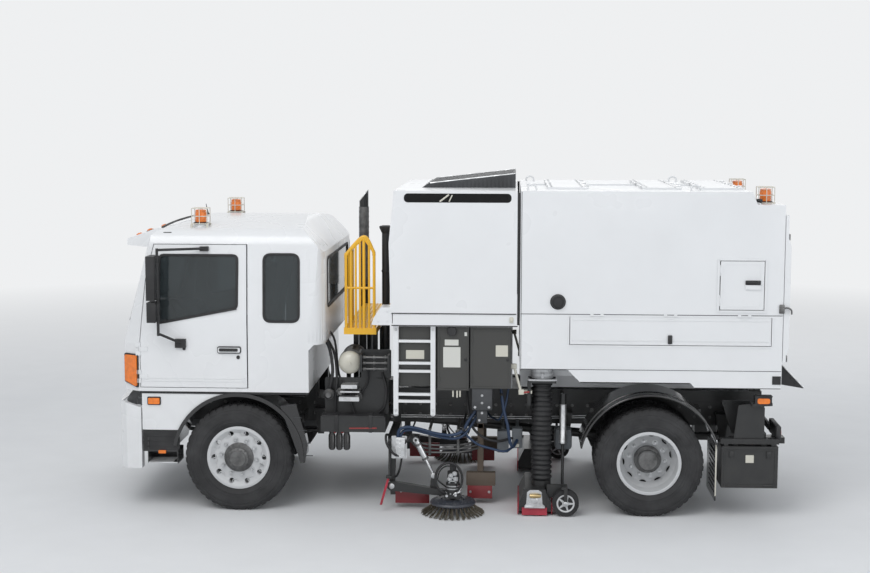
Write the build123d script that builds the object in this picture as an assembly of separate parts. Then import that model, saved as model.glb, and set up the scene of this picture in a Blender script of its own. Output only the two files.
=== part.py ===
from build123d import *
import math
import os

# Millimetres. X runs to the rear, Y to the truck's right, Z up.
# The origin is on the ground, half way along the truck and on its centreline.

# Wheels, axles and steering
wheelbase = 3850.0
front_axle_x = -2045.0
rear_axle_x = front_axle_x + wheelbase
tyre_radius = 506.0
tyre_width = 276.0
bead_radius = 287.0
rim_flange_radius = 299.0
rim_width = 220.0
tyre_seat_gap = 0.3
front_tyre_y = 1062.0
outer_twin_y = 1082.0
twin_spacing = 312.0
king_pin_y = 905.0
king_pin_radius = 20.0
spindle_radius = 32.0
running_gap = 0.5
drum_radius = 205.0

# Ladder frame
rail_outer_y = 430.0
rail_inner_y = 350.0
rail_bottom_z = 720.0
rail_top_z = 950.0
rail_wall = 8.0
frame_front_x = -3040.0
frame_rear_x = 2950.0

# Cab
cab_front_x = -3220.0
cab_rear_x = -1230.0
cab_half_width = 1200.0
cab_floor_z = 1140.0
cab_roof_z = 2728.0
screen_foot_z = 1590.0
screen_lean = 0.26
post_lean = 0.15
cab_rear_radius = 150.0
cab_back_foot_x = -1370.0
cab_wall = 45.0
glass_thickness = 6.0
door_gap = 6.0
door_front_x = -2955.0
door_rear_x = -1950.0
door_bottom_z = 1180.0
door_top_z = 2520.0
window_top_z = 2446.0
window_bottom_z = 1797.0
arch_radius = 590.0
arch_thickness = 12.0
bumper_front_x = -3250.0
bumper_bottom_z = 400.0
bumper_top_z = 1048.0

# Engine cover behind the cab
canopy_front_x = -590.0
canopy_rear_x = 567.0
canopy_bottom_z = 1903.0
canopy_top_z = 3035.0
body_half_width = 1245.0
side_cut_reach = 55.0
canopy_wall = 25.0
band_bottom_z = 1782.0

# Tipping hopper
hopper_front_x = 597.0
hopper_rear_x = 2990.0
hopper_top_z = 3035.0
shelf_top_z = 2918.0
shelf_front_x = 2738.0
roof_rear_x = 2690.0
hopper_seam_z = 1906.0
hopper_wall = 20.0
skirt_rear_z = 1237.0
skirt_mid_z = 1280.0
skirt_front_z = 1397.0
tip_axis_x = 2890.0
tip_axis_z = 1130.0
locker_front_x = 1051.0
locker_rear_x = 2892.0
locker_bottom_z = 1623.0
locker_top_z = 1900.0
locker_depth = 300.0
hatch_front_x = 2408.0
hatch_rear_x = 2817.0
hatch_bottom_z = 1956.0
hatch_top_z = 2412.0
panel_gap = 6.0
tailgate_bottom_z = 1480.0
tailgate_hinge_z = 2860.0

# Sweeping gear
brush_x = -20.0
brush_y = 1150.0
brush_plate_radius = 215.0
bristle_radius = 305.0
arm_pivot_x = -600.0
arm_pivot_z = 240.0
nozzle_front_x = 600.0
nozzle_rear_x = 900.0
nozzle_inner_y = 520.0
nozzle_outer_y = 1200.0
hose_radius = 98.0
hose_x = 810.0
hose_y = 1000.0
castor_radius = 124.0
castor_x = 1034.0
castor_y = 1200.0
castor_z = 128.0

# Hitch
hitch_bore_radius = 12.5


def block(x0, x1, y0, y1, z0, z1):
    centre = Pos((x0 + x1) / 2, (y0 + y1) / 2, (z0 + z1) / 2)
    return centre * Box(abs(x1 - x0), abs(y1 - y0), abs(z1 - z0))


def tube(start, end, radius):
    path = Vector(*end) - Vector(*start)
    plane = Plane(origin=start, z_dir=path.normalized())
    return extrude(plane * Circle(radius), path.length)


def side_plate(points, y0, y1, radius=0.0):
    if radius:
        outline = FilletPolyline(*points, radius=radius, close=True)
    else:
        outline = Polyline(*points, close=True)
    plane = Plane(origin=(0, max(y0, y1), 0), x_dir=(1, 0, 0), z_dir=(0, -1, 0))
    return extrude(plane * make_face(outline), abs(y1 - y0))


def cross_plate(points, x0, x1, radius=0.0):
    if radius:
        outline = FilletPolyline(*points, radius=radius, close=True)
    else:
        outline = Polyline(*points, close=True)
    plane = Plane(origin=(min(x0, x1), 0, 0), x_dir=(0, 1, 0), z_dir=(1, 0, 0))
    return extrude(plane * make_face(outline), abs(x1 - x0))


def flat_plate(points, z0, z1, radius=0.0):
    if radius:
        outline = FilletPolyline(*points, radius=radius, close=True)
    else:
        outline = Polyline(*points, close=True)
    return extrude(Pos(0, 0, min(z0, z1)) * make_face(outline), abs(z1 - z0))


def turned(points, x, z, side):
    # Points are (radius, distance from the centreline) on the given side.
    plane = Plane(origin=(x, 0, z), x_dir=(1, 0, 0), z_dir=(0, 0, 1))
    outline = Polyline(*[(r, side * y) for r, y in points], close=True)
    return revolve(plane * make_face(outline), Axis((x, 0, z), (0, 1, 0)))


def both(shape):
    return Compound(children=[*shape.solids(), *mirror(shape, Plane.XZ).solids()])


def group(*shapes):
    return Compound(children=[s for shape in shapes for s in shape.solids()])


def fused(first, *rest):
    out = first
    for shape in rest:
        out = out + shape
    return out


nodes = {}

# Ladder frame: two channels that open inwards, and the members between them
rail = block(frame_front_x, frame_rear_x, rail_inner_y, rail_outer_y, rail_bottom_z, rail_top_z)
rail -= block(
    frame_front_x - 1,
    frame_rear_x + 1,
    rail_inner_y - 1,
    rail_outer_y - rail_wall,
    rail_bottom_z + rail_wall,
    rail_top_z - rail_wall,
)
frame = rail + mirror(rail, Plane.XZ)
member_x = (-2960.0, -850.0, 120.0, 1150.0, 2500.0, 2880.0)
for x in member_x:
    member = block(x - 45, x + 45, -rail_outer_y + 4, rail_outer_y - 4, 790, 910)
    member -= block(x - 37, x + 46, -rail_outer_y, rail_outer_y, 798, 902)
    frame += member
nodes["chassis_frame"] = frame

# Front axle beam with its king pins, and the leaf springs that carry it
beam_half = 45.0
boss_bottom_z = 440.0
boss_top_z = 560.0
lug_gap = 2.0
lug_height = 46.0
beam = cross_plate(
    [
        (-king_pin_y, 455),
        (-760, 455),
        (-560, 390),
        (560, 390),
        (760, 455),
        (king_pin_y, 455),
        (king_pin_y, 545),
        (700, 545),
        (540, 480),
        (-540, 480),
        (-700, 545),
        (-king_pin_y, 545),
    ],
    front_axle_x - beam_half,
    front_axle_x + beam_half,
)
for side in (-1, 1):
    y = side * king_pin_y
    beam += tube((front_axle_x, y, boss_bottom_z), (front_axle_x, y, boss_top_z), beam_half)
    pin_low = boss_bottom_z - lug_gap - lug_height
    pin_high = boss_top_z + lug_gap + lug_height
    beam += tube((front_axle_x, y, pin_low), (front_axle_x, y, pin_high), king_pin_radius)
nodes["front_axle"] = beam

spring_y = 470.0
spring_width = 80.0


def leaf_spring(axle_x, seat_z, half_length, y_mid, eye_z):
    y0 = y_mid - spring_width / 2
    y1 = y_mid + spring_width / 2
    pack_height = 52.0
    mid = axle_x
    spring = side_plate(
        [
            (mid - half_length, eye_z),
            (mid - half_length / 2, (eye_z + seat_z) / 2 - 12),
            (mid - 60, seat_z),
            (mid + 60, seat_z),
            (mid + half_length / 2, (eye_z + seat_z) / 2 - 12),
            (mid + half_length, eye_z),
            (mid + half_length, eye_z + 14),
            (mid, seat_z + pack_height),
            (mid - half_length, eye_z + 14),
        ],
        y0,
        y1,
    )
    for end in (-1, 1):
        x = mid + end * half_length
        spring += tube((x, y0, eye_z + 7), (x, y1, eye_z + 7), 32)
    return spring


def spring_hanger(x, y_mid, eye_z):
    y0 = y_mid - spring_width / 2
    y1 = y_mid + spring_width / 2
    hanger = side_plate(
        [(x - 60, 860), (x + 60, 860), (x + 30, eye_z - 30), (x - 30, eye_z - 30)],
        rail_outer_y,
        y1 + 14,
    )
    slot = block(x - 80, x + 80, y0 - 1, y1 + 1, 0, rail_bottom_z - 6)
    slot -= tube((x, y0 - 1, eye_z + 7), (x, y1 + 1, eye_z + 7), 14)
    hanger -= slot
    return hanger


front_spring_eye_z = 640.0
front_spring_seat_z = 548.0
spring = leaf_spring(front_axle_x, front_spring_seat_z, 700, spring_y, front_spring_eye_z)
for end in (-1, 1):
    x = front_axle_x + end * 700
    spring -= tube((x, 0, front_spring_eye_z + 7), (x, 900, front_spring_eye_z + 7), 14)
front_springs = both(spring)
hangers = spring_hanger(front_axle_x - 700, spring_y, front_spring_eye_z)
hangers += spring_hanger(front_axle_x + 700, spring_y, front_spring_eye_z)
pads = block(
    front_axle_x - 58,
    front_axle_x + 58,
    spring_y - 46,
    spring_y + 46,
    480,
    front_spring_seat_z,
)
nodes["front_axle"] = nodes["front_axle"] + pads + mirror(pads, Plane.XZ)

# Rear axle: a banjo housing between two tapered tubes, on its own springs
rear_spring_y = 540.0
rear_seat_z = 590.0
housing = turned(
    [(0, -150), (120, -150), (190, -70), (190, 70), (120, 150), (0, 150)],
    rear_axle_x,
    tyre_radius,
    1,
)
hub_inner_y = 640.0
rear_axle = Rot(0, 0, 0) * housing
rear_axle += tube(
    (rear_axle_x, -hub_inner_y, tyre_radius), (rear_axle_x, hub_inner_y, tyre_radius), 70
)
stub_end_y = 1010.0
rear_axle += tube(
    (rear_axle_x, -stub_end_y, tyre_radius), (rear_axle_x, stub_end_y, tyre_radius), 48
)
rear_pad = block(
    rear_axle_x - 70,
    rear_axle_x + 70,
    rear_spring_y - 44,
    rear_spring_y + 44,
    tyre_radius,
    rear_seat_z,
)
rear_axle += rear_pad + mirror(rear_pad, Plane.XZ)
nose = tube((rear_axle_x - 330, 0, 520), (rear_axle_x - 100, 0, tyre_radius), 75)
rear_axle += nose
nodes["rear_axle"] = rear_axle

rear_eye_z = 660.0
spring = leaf_spring(rear_axle_x, rear_seat_z, 750, rear_spring_y, rear_eye_z)
for end in (-1, 1):
    x = rear_axle_x + end * 750
    spring -= tube((x, 0, rear_eye_z + 7), (x, 900, rear_eye_z + 7), 14)
nodes["leaf_springs"] = group(front_springs, both(spring))
hangers += spring_hanger(rear_axle_x - 750, rear_spring_y, rear_eye_z)
hangers += spring_hanger(rear_axle_x + 750, rear_spring_y, rear_eye_z)
nodes["chassis_frame"] += fused(hangers, mirror(hangers, Plane.XZ))

# Engine and gearbox between the rails, and the shaft to the rear axle
engine = block(-2740, -1680, -290, 290, 620, 1090)
engine += block(-2600, -1800, -180, 180, 540, 620)
engine += side_plate([(-1680, 600), (-1000, 640), (-1000, 860), (-1680, 960)], -170, 170)
engine += tube((-1010, 0, 724.6), (-930, 0, 718), 60)
for side in (-1, 1):
    engine += block(-2700, -2620, side * 280, side * (rail_inner_y - 0.3), 735, 840)
    engine += block(-1800, -1720, side * 280, side * (rail_inner_y - 0.3), 735, 840)
nodes["engine"] = engine
shaft_end = (rear_axle_x - 330.3, 0, 520)
nodes["rear_axle"] += tube((-929.6, 0, 718), (shaft_end[0] + 10, 0, 520), 45)

# Steering knuckles
for name, side in (("left", -1), ("right", 1)):
    y = side * king_pin_y
    low_top = boss_bottom_z - lug_gap
    high_bottom = boss_top_z + lug_gap
    knuckle = tube((front_axle_x, y, low_top - lug_height), (front_axle_x, y, low_top), 42)
    knuckle += tube((front_axle_x, y, high_bottom), (front_axle_x, y, high_bottom + lug_height), 42)
    knuckle += block(
        front_axle_x - 42,
        front_axle_x + 42,
        y,
        side * (king_pin_y + 80),
        low_top - lug_height,
        low_top,
    )
    knuckle += block(
        front_axle_x - 42,
        front_axle_x + 42,
        y,
        side * (king_pin_y + 80),
        high_bottom,
        high_bottom + lug_height,
    )
    knuckle += block(
        front_axle_x - 42,
        front_axle_x + 42,
        side * (king_pin_y + beam_half + 8),
        side * (king_pin_y + 80),
        low_top - lug_height,
        high_bottom + lug_height,
    )
    knuckle += tube(
        (front_axle_x, side * (king_pin_y + 70), tyre_radius),
        (front_axle_x, side * (front_tyre_y + 108), tyre_radius),
        spindle_radius,
    )
    knuckle -= tube(
        (front_axle_x, y, low_top - lug_height - 1),
        (front_axle_x, y, high_bottom + lug_height + 1),
        king_pin_radius + running_gap,
    )
    nodes["knuckle_" + name] = knuckle


def tyre(x, y_mid, side):
    half = tyre_width / 2
    bead_half = rim_width / 2 - 8
    seat = bead_radius + tyre_seat_gap
    return turned(
        [
            (seat, y_mid - bead_half),
            (seat, y_mid + bead_half),
            (rim_flange_radius + 2, y_mid + bead_half),
            (330, y_mid + half - 12),
            (410, y_mid + half),
            (478, y_mid + half - 14),
            (tyre_radius, y_mid + half - 40),
            (tyre_radius, y_mid - half + 40),
            (478, y_mid - half + 14),
            (410, y_mid - half),
            (330, y_mid - half + 12),
            (rim_flange_radius + 2, y_mid - bead_half),
        ],
        x,
        tyre_radius,
        side,
    )


# Wheels: disc wheels with turned rims, bored for their spindles
rim_half = rim_width / 2
lip = rim_half - 8 + tyre_seat_gap
for name, side in (("left", -1), ("right", 1)):
    y = front_tyre_y
    disc_y = y + 62
    rim = turned(
        [
            (bead_radius, y - lip),
            (rim_flange_radius, y - lip),
            (rim_flange_radius, y - rim_half),
            (270, y - rim_half),
            (262, y + 20),
            (220, disc_y - 4),
            (drum_radius, disc_y - 4),
            (drum_radius, y - 70),
            (150, y - 70),
            (60, y - 60),
            (spindle_radius + running_gap, y - 60),
            (spindle_radius + running_gap, y + 116),
            (0, y + 116),
            (0, y + 130),
            (78, y + 130),
            (92, disc_y + 30),
            (150, disc_y + 14),
            (230, disc_y + 10),
            (270, y + rim_half),
            (rim_flange_radius, y + rim_half),
            (rim_flange_radius, y + lip),
            (bead_radius, y + lip),
        ],
        front_axle_x,
        tyre_radius,
        side,
    )
    for i in range(10):
        turn = math.radians(36 * i)
        hx = front_axle_x + 238 * math.cos(turn)
        hz = tyre_radius + 238 * math.sin(turn)
        hole = tube((hx, side * (y + 22), hz), (hx, side * (disc_y + 60), hz), 24)
        rim -= hole
    nodes["rim_front_" + name] = rim
    nodes["tyre_front_" + name] = tyre(front_axle_x, y, side)

for name, side in (("left", -1), ("right", 1)):
    inner_y = outer_twin_y - twin_spacing
    mid_y = (outer_twin_y + inner_y) / 2
    outer = outer_twin_y
    rim = turned(
        [
            (bead_radius, outer - lip),
            (rim_flange_radius, outer - lip),
            (rim_flange_radius, outer - rim_half),
            (rim_flange_radius, inner_y + rim_half),
            (rim_flange_radius, inner_y + lip),
            (bead_radius, inner_y + lip),
            (bead_radius, inner_y - lip),
            (rim_flange_radius, inner_y - lip),
            (rim_flange_radius, inner_y - rim_half),
            (270, inner_y - rim_half),
            (262, mid_y - 20),
            (drum_radius, mid_y - 20),
            (drum_radius, inner_y - 60),
            (110, inner_y - 60),
            (110, mid_y - 40),
            (48 + running_gap, mid_y - 40),
            (48 + running_gap, stub_end_y + 2),
            (0, stub_end_y + 2),
            (0, stub_end_y + 70),
            (82, stub_end_y + 70),
            (104, mid_y + 60),
            (140, mid_y + 26),
            (225, mid_y + 14),
            (262, outer - 30),
            (270, outer + rim_half),
            (rim_flange_radius, outer + rim_half),
            (rim_flange_radius, outer + lip),
            (bead_radius, outer + lip),
        ],
        rear_axle_x,
        tyre_radius,
        side,
    )
    nodes["rims_rear_" + name] = rim
    twins = group(tyre(rear_axle_x, outer, side), tyre(rear_axle_x, inner_y, side))
    nodes["tyres_rear_" + name] = twins

# Cab form: a plan that leans back above the screen's foot, met by a side and an end view
side_view = [
    (-3300, 900),
    (-3300, 2290),
    (-2990, 2490),
    (-2790, 2655),
    (-2560, 2715),
    (-2250, 2745),
    (-1580, 2745),
    (-1470, 2715),
    (-1200, 2420),
    (-1200, 900),
]
shoulder_y = 1160.0
shoulder_z = 2510.0
dome_y = 1014.8
dome_z = 2664.3
corner_x = cab_front_x + 95
side_x = corner_x + 150


def cab_plan(inset, front_shift, post_shift):
    front = cab_front_x + inset + front_shift
    corner = corner_x + inset + front_shift
    edge_y = 1110 - 0.57 * inset
    half = cab_half_width - inset
    post = side_x + 0.28 * inset + post_shift
    rear = cab_rear_x - inset
    turn_x = cab_rear_x - cab_rear_radius
    turn_y = cab_half_width - cab_rear_radius
    reach = (cab_rear_radius - inset) * math.sqrt(0.5)
    bow = ThreePointArc((corner, -edge_y), (front, 0), (corner, edge_y))
    left = Polyline((corner, edge_y), (post, half), (turn_x, half))
    left_turn = ThreePointArc((turn_x, half), (turn_x + reach, turn_y + reach), (rear, turn_y))
    back = Line((rear, turn_y), (rear, -turn_y))
    right_turn = ThreePointArc((rear, -turn_y), (turn_x + reach, -turn_y - reach), (turn_x, -half))
    right = Polyline((turn_x, -half), (post, -half), (corner, -edge_y))
    parts = (bow, left, left_turn, back, right_turn, right)
    return make_face([edge for part in parts for edge in part.edges()])


def cab_ends(inset):
    half = cab_half_width
    left = ThreePointArc((-shoulder_y, shoulder_z), (-1113.5, 2615.6), (-dome_y, dome_z))
    dome = ThreePointArc((-dome_y, dome_z), (0, cab_roof_z), (dome_y, dome_z))
    right = ThreePointArc((dome_y, dome_z), (1113.5, 2615.6), (shoulder_y, shoulder_z))
    low = [(half, 1820), (half, 900), (-half, 900), (-half, 1820)]
    rest = Polyline((shoulder_y, shoulder_z), *low, (-shoulder_y, shoulder_z))
    parts = (left, dome, right, rest)
    face = make_face([edge for part in parts for edge in part.edges()])
    if inset:
        face = offset(face, -inset, kind=Kind.INTERSECTION)
    return face


def cab_form(inset):
    side = make_face(FilletPolyline(*side_view, radius=90, close=True))
    if inset:
        side = offset(side, -inset, kind=Kind.INTERSECTION)
    along = Plane(origin=(0, 1300, 0), x_dir=(1, 0, 0), z_dir=(0, -1, 0))
    across = Plane(origin=(-3400, 0, 0), x_dir=(0, 1, 0), z_dir=(1, 0, 0))
    low = cab_floor_z + inset
    rise = 2800 - screen_foot_z
    form = extrude(Pos(0, 0, low) * cab_plan(inset, 0, 0), screen_foot_z - low)
    foot = Pos(0, 0, screen_foot_z) * cab_plan(inset, 0, 0)
    head = Pos(0, 0, 2800) * cab_plan(inset, screen_lean * rise, post_lean * rise)
    form += loft([foot, head], ruled=True)
    form &= extrude(along * side, 2600)
    form &= extrude(across * cab_ends(inset), 2400)
    back_foot = cab_back_foot_x - inset
    return form - side_plate(
        [
            (back_foot, 900),
            (-1100, 900),
            (-1100, screen_foot_z + inset),
            (back_foot + 50, screen_foot_z + inset),
            (back_foot, screen_foot_z - 50 + inset),
        ],
        -1300,
        1300,
    )


cab_outer = cab_form(0)
cab_inner = cab_form(cab_wall)
shell = cab_outer - cab_inner


def window_block(x0, x1, z0, z1, y0, y1, radius):
    return side_plate([(x0, z0), (x1, z0), (x1, z1), (x0, z1)], y0, y1, radius)


screen_cut = cross_plate(
    [(-1020, 1790), (1020, 1790), (985, 2440), (-985, 2440)], -3300, -2750, 60
)
back_cut = cross_plate(
    [(-880, 1900), (880, 1900), (880, 2390), (-880, 2390)], cab_rear_x - 60, -1100, 70
)
rear_side_cut = window_block(-1797, -1447, window_bottom_z, window_top_z, 1000, 1300, 80)
door_window = [
    (-2792, 1770),
    (-2028, 1920),
    (-2021, 2434),
    (-2779, 2434),
]
door_window_cut = side_plate(door_window, 1000, 1300, 60)
door_outline = [
    (door_front_x, door_bottom_z),
    (door_rear_x, door_bottom_z),
    (door_rear_x, door_top_z),
    (-2815, door_top_z),
    (-2897, 2190),
    (door_front_x, 1620),
]
door_hole_outline = [
    (door_front_x - door_gap, door_bottom_z - door_gap),
    (door_rear_x + 12, door_bottom_z - door_gap),
    (door_rear_x + 12, door_top_z + door_gap),
    (-2815 - door_gap, door_top_z + door_gap),
    (-2897 - door_gap, 2191),
    (door_front_x - door_gap, 1620),
]
door_hole = side_plate(door_hole_outline, 1000, 1300)
door_block = side_plate(door_outline, 1000, 1300)

body_shell = shell - screen_cut - back_cut
for cut in (rear_side_cut, door_hole):
    body_shell -= cut
    body_shell -= mirror(cut, Plane.XZ)

# The cab's panels: roof, floor, front panel and the pillars with the back wall
roof_split_z = door_top_z + door_gap + 4
floor_split_z = cab_floor_z + cab_wall
roof = body_shell & block(-3300, -1100, -1300, 1300, roof_split_z, 2900)
floor = body_shell & block(-3300, -1100, -1300, 1300, 1100, floor_split_z)
front_panel = body_shell & block(-3300, -3060, -1300, 1300, floor_split_z, 1790)
walls = body_shell & block(-3300, -1100, -1300, 1300, floor_split_z, roof_split_z)
walls -= block(-3300, -3060, -1300, 1300, floor_split_z - 1, 1790)
hinge_x = door_front_x - 3
hinge_y = cab_half_width + 3
hinge_rows = (1260.0, 1520.0)
knuckle_length = 40.0
for z in hinge_rows:
    for side in (-1, 1):
        walls -= block(
            hinge_x - 12,
            hinge_x + 40,
            side * (cab_half_width - 24),
            side * 1300,
            z - 5,
            z + knuckle_length + 5,
        )
visor = side_plate(
    [(-3155, 2512), (-3150, 2545), (-2960, 2612), (-2780, 2676), (-2700, 2600), (-2900, 2490)],
    -1075,
    1075,
)
visor_bow = ThreePointArc((-3088, -1075), (-3155, 0), (-3088, 1075))
visor_rest = Polyline((-3088, 1075), (-2600, 1075), (-2600, -1075), (-3088, -1075))
visor_plan = make_face([*visor_bow.edges(), *visor_rest.edges()])
visor &= extrude(Pos(0, 0, 2400) * visor_plan, 400)
roof += visor - cab_outer
beacons = tube((-2423, 907, 2560), (-2423, 907, 2712), 62)
beacons += tube((-2423, 907, 2700), (-2423, 907, 2822), 50)
beacons -= cab_inner
nodes["cab_roof"] = roof + beacons + mirror(beacons, Plane.XZ)
nodes["cab_floor"] = floor
nodes["cab_front"] = front_panel
nodes["cab_walls"] = walls

# Fixed glass, let into its openings 1 mm clear
glass_form = cab_form(4) - cab_form(4 + glass_thickness)
screen = glass_form & cross_plate(
    [(-1019.7, 1790.3), (1019.7, 1790.3), (984.7, 2439.7), (-984.7, 2439.7)], -3300, -2750, 60
)
back_glass = glass_form & cross_plate(
    [(-879.7, 1900.3), (879.7, 1900.3), (879.7, 2389.7), (-879.7, 2389.7)], cab_rear_x - 60, -1100, 70
)
side_window = (-1796.7, -1447.3, window_bottom_z + 0.3, window_top_z - 0.3)
side_glass = glass_form & window_block(*side_window, 1000, 1300, 80)
nodes["cab_glass"] = group(screen, back_glass, side_glass, mirror(side_glass, Plane.XZ))

# Doors with their glass, hinged at the front edge
for name, side in (("left", -1), ("right", 1)):
    leaf = shell & door_block
    leaf -= door_window_cut
    leaf += window_block(-2218, -2010, 1515, 1562, 1195, cab_half_width + 22, 12)
    for z in hinge_rows:
        leaf -= tube(
            (hinge_x, hinge_y, z - knuckle_length - 2),
            (hinge_x, hinge_y, z + 2 * knuckle_length + 2),
            9.6,
        )
        leaf += block(hinge_x, hinge_x + 70, cab_half_width - 16, cab_half_width + 8, z, z + knuckle_length)
        leaf += tube((hinge_x, hinge_y, z), (hinge_x, hinge_y, z + knuckle_length), 9)
        leaf -= tube((hinge_x, hinge_y, z - 1), (hinge_x, hinge_y, z + knuckle_length + 1), 5.4)
    glass = glass_form & side_plate(
        [
            (-2791.7, 1770.4),
            (-2028.3, 1920.3),
            (-2021.3, 2433.7),
            (-2778.7, 2433.7),
        ],
        1000,
        1300,
        60,
    )
    if side < 0:
        leaf = mirror(leaf, Plane.XZ)
        glass = mirror(glass, Plane.XZ)
    nodes["door_" + name] = leaf
    nodes["door_glass_" + name] = glass

# Hinge halves on the cab's front corner posts
posts = []
for z in hinge_rows:
    for z0 in (z - knuckle_length - 1, z + knuckle_length + 1):
        half = tube((hinge_x, hinge_y, z0), (hinge_x, hinge_y, z0 + knuckle_length), 9)
        half += block(
            hinge_x - 40,
            hinge_x,
            cab_half_width - 20,
            cab_half_width + 8,
            z0,
            z0 + knuckle_length,
        )
        posts.append(half)
    pin = tube(
        (hinge_x, hinge_y, z - knuckle_length - 1),
        (hinge_x, hinge_y, z + 2 * knuckle_length + 1),
        5,
    )
    posts.append(pin)
hinges = fused(*posts)
hinges -= cab_outer
nodes["cab_walls"] += fused(hinges, mirror(hinges, Plane.XZ))

# Mirrors ride on the doors: two heads on a tubular frame
mirror_x = -2740.0
mirror_y = 1370.0
for name, side in (("left", -1), ("right", 1)):
    y = side * mirror_y
    heads = block(mirror_x - 90, mirror_x - 10, side * 1260, side * 1450, 2025, 2432)
    heads += block(mirror_x - 90, mirror_x - 10, side * 1280, side * 1440, 1819, 2005)
    heads += tube((mirror_x, y, 1690), (mirror_x, y, 2500), 13)
    top_arm = tube((mirror_x, y, 2486), (-2340, side * 1182, 2486), 12)
    low_arm = tube((mirror_x, y, 1710), (-2560, side * 1222, 1600), 12)
    top_arm += block(-2380, -2300, side * 1163, side * 1196, 2462, 2505)
    low_arm += block(-2620, -2520, side * 1200.3, side * 1230, 1557, 1640)
    nodes["mirror_" + name] = heads + top_arm + low_arm

# Inside the cab
dash = side_plate(
    [
        (-3030, 1500),
        (-2800, 1500),
        (-2760, 1640),
        (-2850, 1740),
        (-3020, 1760),
        (-3020, 1735),
        (-2855, 1715),
        (-2790, 1635),
        (-2820, 1525),
        (-3030, 1525),
    ],
    -1050,
    1050,
)
for y in (-1000.0, 0.0, 1000.0):
    dash += block(-3030, -3004, y - 40, y + 40, floor_split_z + 0.3, 1757)
column = tube((-2900, -560, 1600), (-2688, -560, 1737), 30)
wheel_plane = Plane(origin=(-2690, -560, 1736), z_dir=(0.84, 0, 0.54))
rim_ring = extrude(wheel_plane * (Circle(225) - Circle(200)), 24)
spokes = extrude(wheel_plane * (Rectangle(410, 40) + Rectangle(40, 410)), 20)
dash = dash + column + rim_ring + spokes
seat_row = []
for y in (-560, 560):
    seat = block(-2480, -1960, y - 250, y + 250, floor_split_z + 0.3, 1420)
    seat += block(-2500, -1940, y - 260, y + 260, 1420, 1560)
    seat += side_plate([(-2060, 1540), (-1920, 1540), (-1790, 2280), (-1900, 2290)], y - 250, y + 250)
    seat_row.append(seat)
nodes["cab_interior"] = group(dash, *seat_row)

# Bumper, lower corner panels, steps and wheel arches
bow = ThreePointArc((-3160, -1150), (bumper_front_x, 0), (-3160, 1150))
rest = Polyline((-3160, 1150), (-3100, 1196), (-2960, 1196), (-2960, -1196), (-3100, -1196), (-3160, -1150))
bumper_plan = make_face([*bow.edges(), *rest.edges()])
bumper = extrude(Pos(0, 0, bumper_bottom_z) * bumper_plan, bumper_top_z - bumper_bottom_z)
bumper_core = offset(bumper_plan, -50, kind=Kind.INTERSECTION)
bumper -= extrude(Pos(0, 0, bumper_bottom_z - 1) * bumper_core, 900)
bumper -= block(-3105, -2900, -1100, 1100, 300, 1200)
bumper -= block(-3300, -3100, -560, 560, 500, 620)
lamp_cut = block(-3300, -3050, 700, 1060, 700, 880)
bumper -= lamp_cut
bumper -= mirror(lamp_cut, Plane.XZ)
bumper -= side_plate([(-3135, 1100), (-3135, 1040), (-2940, 974), (-2940, 1100)], -1300, 1300)
for side in (-1, 1):
    bumper += block(-3190, frame_front_x - 0.3, side * 355, side * 425, 740, 930)
lamp = block(-3178, -3120, 700.3, 1059.7, 700.3, 879.7)
lip_radius = arch_radius + 35
wing = side_plate(
    [(-2950, 770), (-2400, 770), (-1960, 1100), (-1960, 1139.7), (-2950, 1139.7)], 1130, 1192
)
wing -= tube((front_axle_x, 1000, tyre_radius), (front_axle_x, 1300, tyre_radius), lip_radius + 0.3)
nodes["bumper"] = group(bumper, both(lamp), both(wing))

axle_ring = Plane(origin=(front_axle_x, 1196, tyre_radius), x_dir=(1, 0, 0), z_dir=(0, -1, 0))
arch = extrude(axle_ring * (Circle(arch_radius + arch_thickness) - Circle(arch_radius)), 500)
arch_room = block(-2800, front_axle_x, 600, 1300, 620, 1130)
arch_room += block(front_axle_x, -1300, 600, 1300, 470, 1130)
lip = extrude(axle_ring.offset(-12) * (Circle(lip_radius) - Circle(arch_radius)), 40)
arch = (arch + lip) & arch_room
corner = side_plate([(-2950, 560), (-2560, 560), (-2560, 765), (-2950, 765)], 1120, 1180)
corner -= extrude(axle_ring.offset(-10) * Circle(arch_radius + 1), 600)
step = block(-2905, -2615, 960, 1190, 448, 577)
step -= block(-2895, -2625, 970, 1191, 460, 560)
hanger_leg = block(-2905, -2890, 960, 1190, 570, 700)
guard_points = [(-1643, 1010), (-1492, 1031), (-1382, 641), (-1412, 468), (-1458, 468), (-1480, 560)]
guard = side_plate(guard_points, 1158, 1192)
guard -= extrude(axle_ring.offset(10) * Circle(arch_radius + 1), 900)
arch_set = arch + corner + step + hanger_leg + guard
brace = block(-2940, -2915, rail_outer_y + 0.3, 1140, 600, 700)
brace_rear = block(-1508, -1478, rail_outer_y + 0.3, 710, 760, 840)
front_arches = both(arch_set + brace + brace_rear)

# Cab mounts between the rails and the cab floor
mount_row = []
for x in (-2850.0, -1440.0):
    mount = block(x - 60, x + 60, 340, 440, rail_top_z - 4, cab_floor_z - 0.3)
    mount_row.append(mount)
for mount in mount_row:
    nodes["chassis_frame"] += mount + mirror(mount, Plane.XZ)

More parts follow.
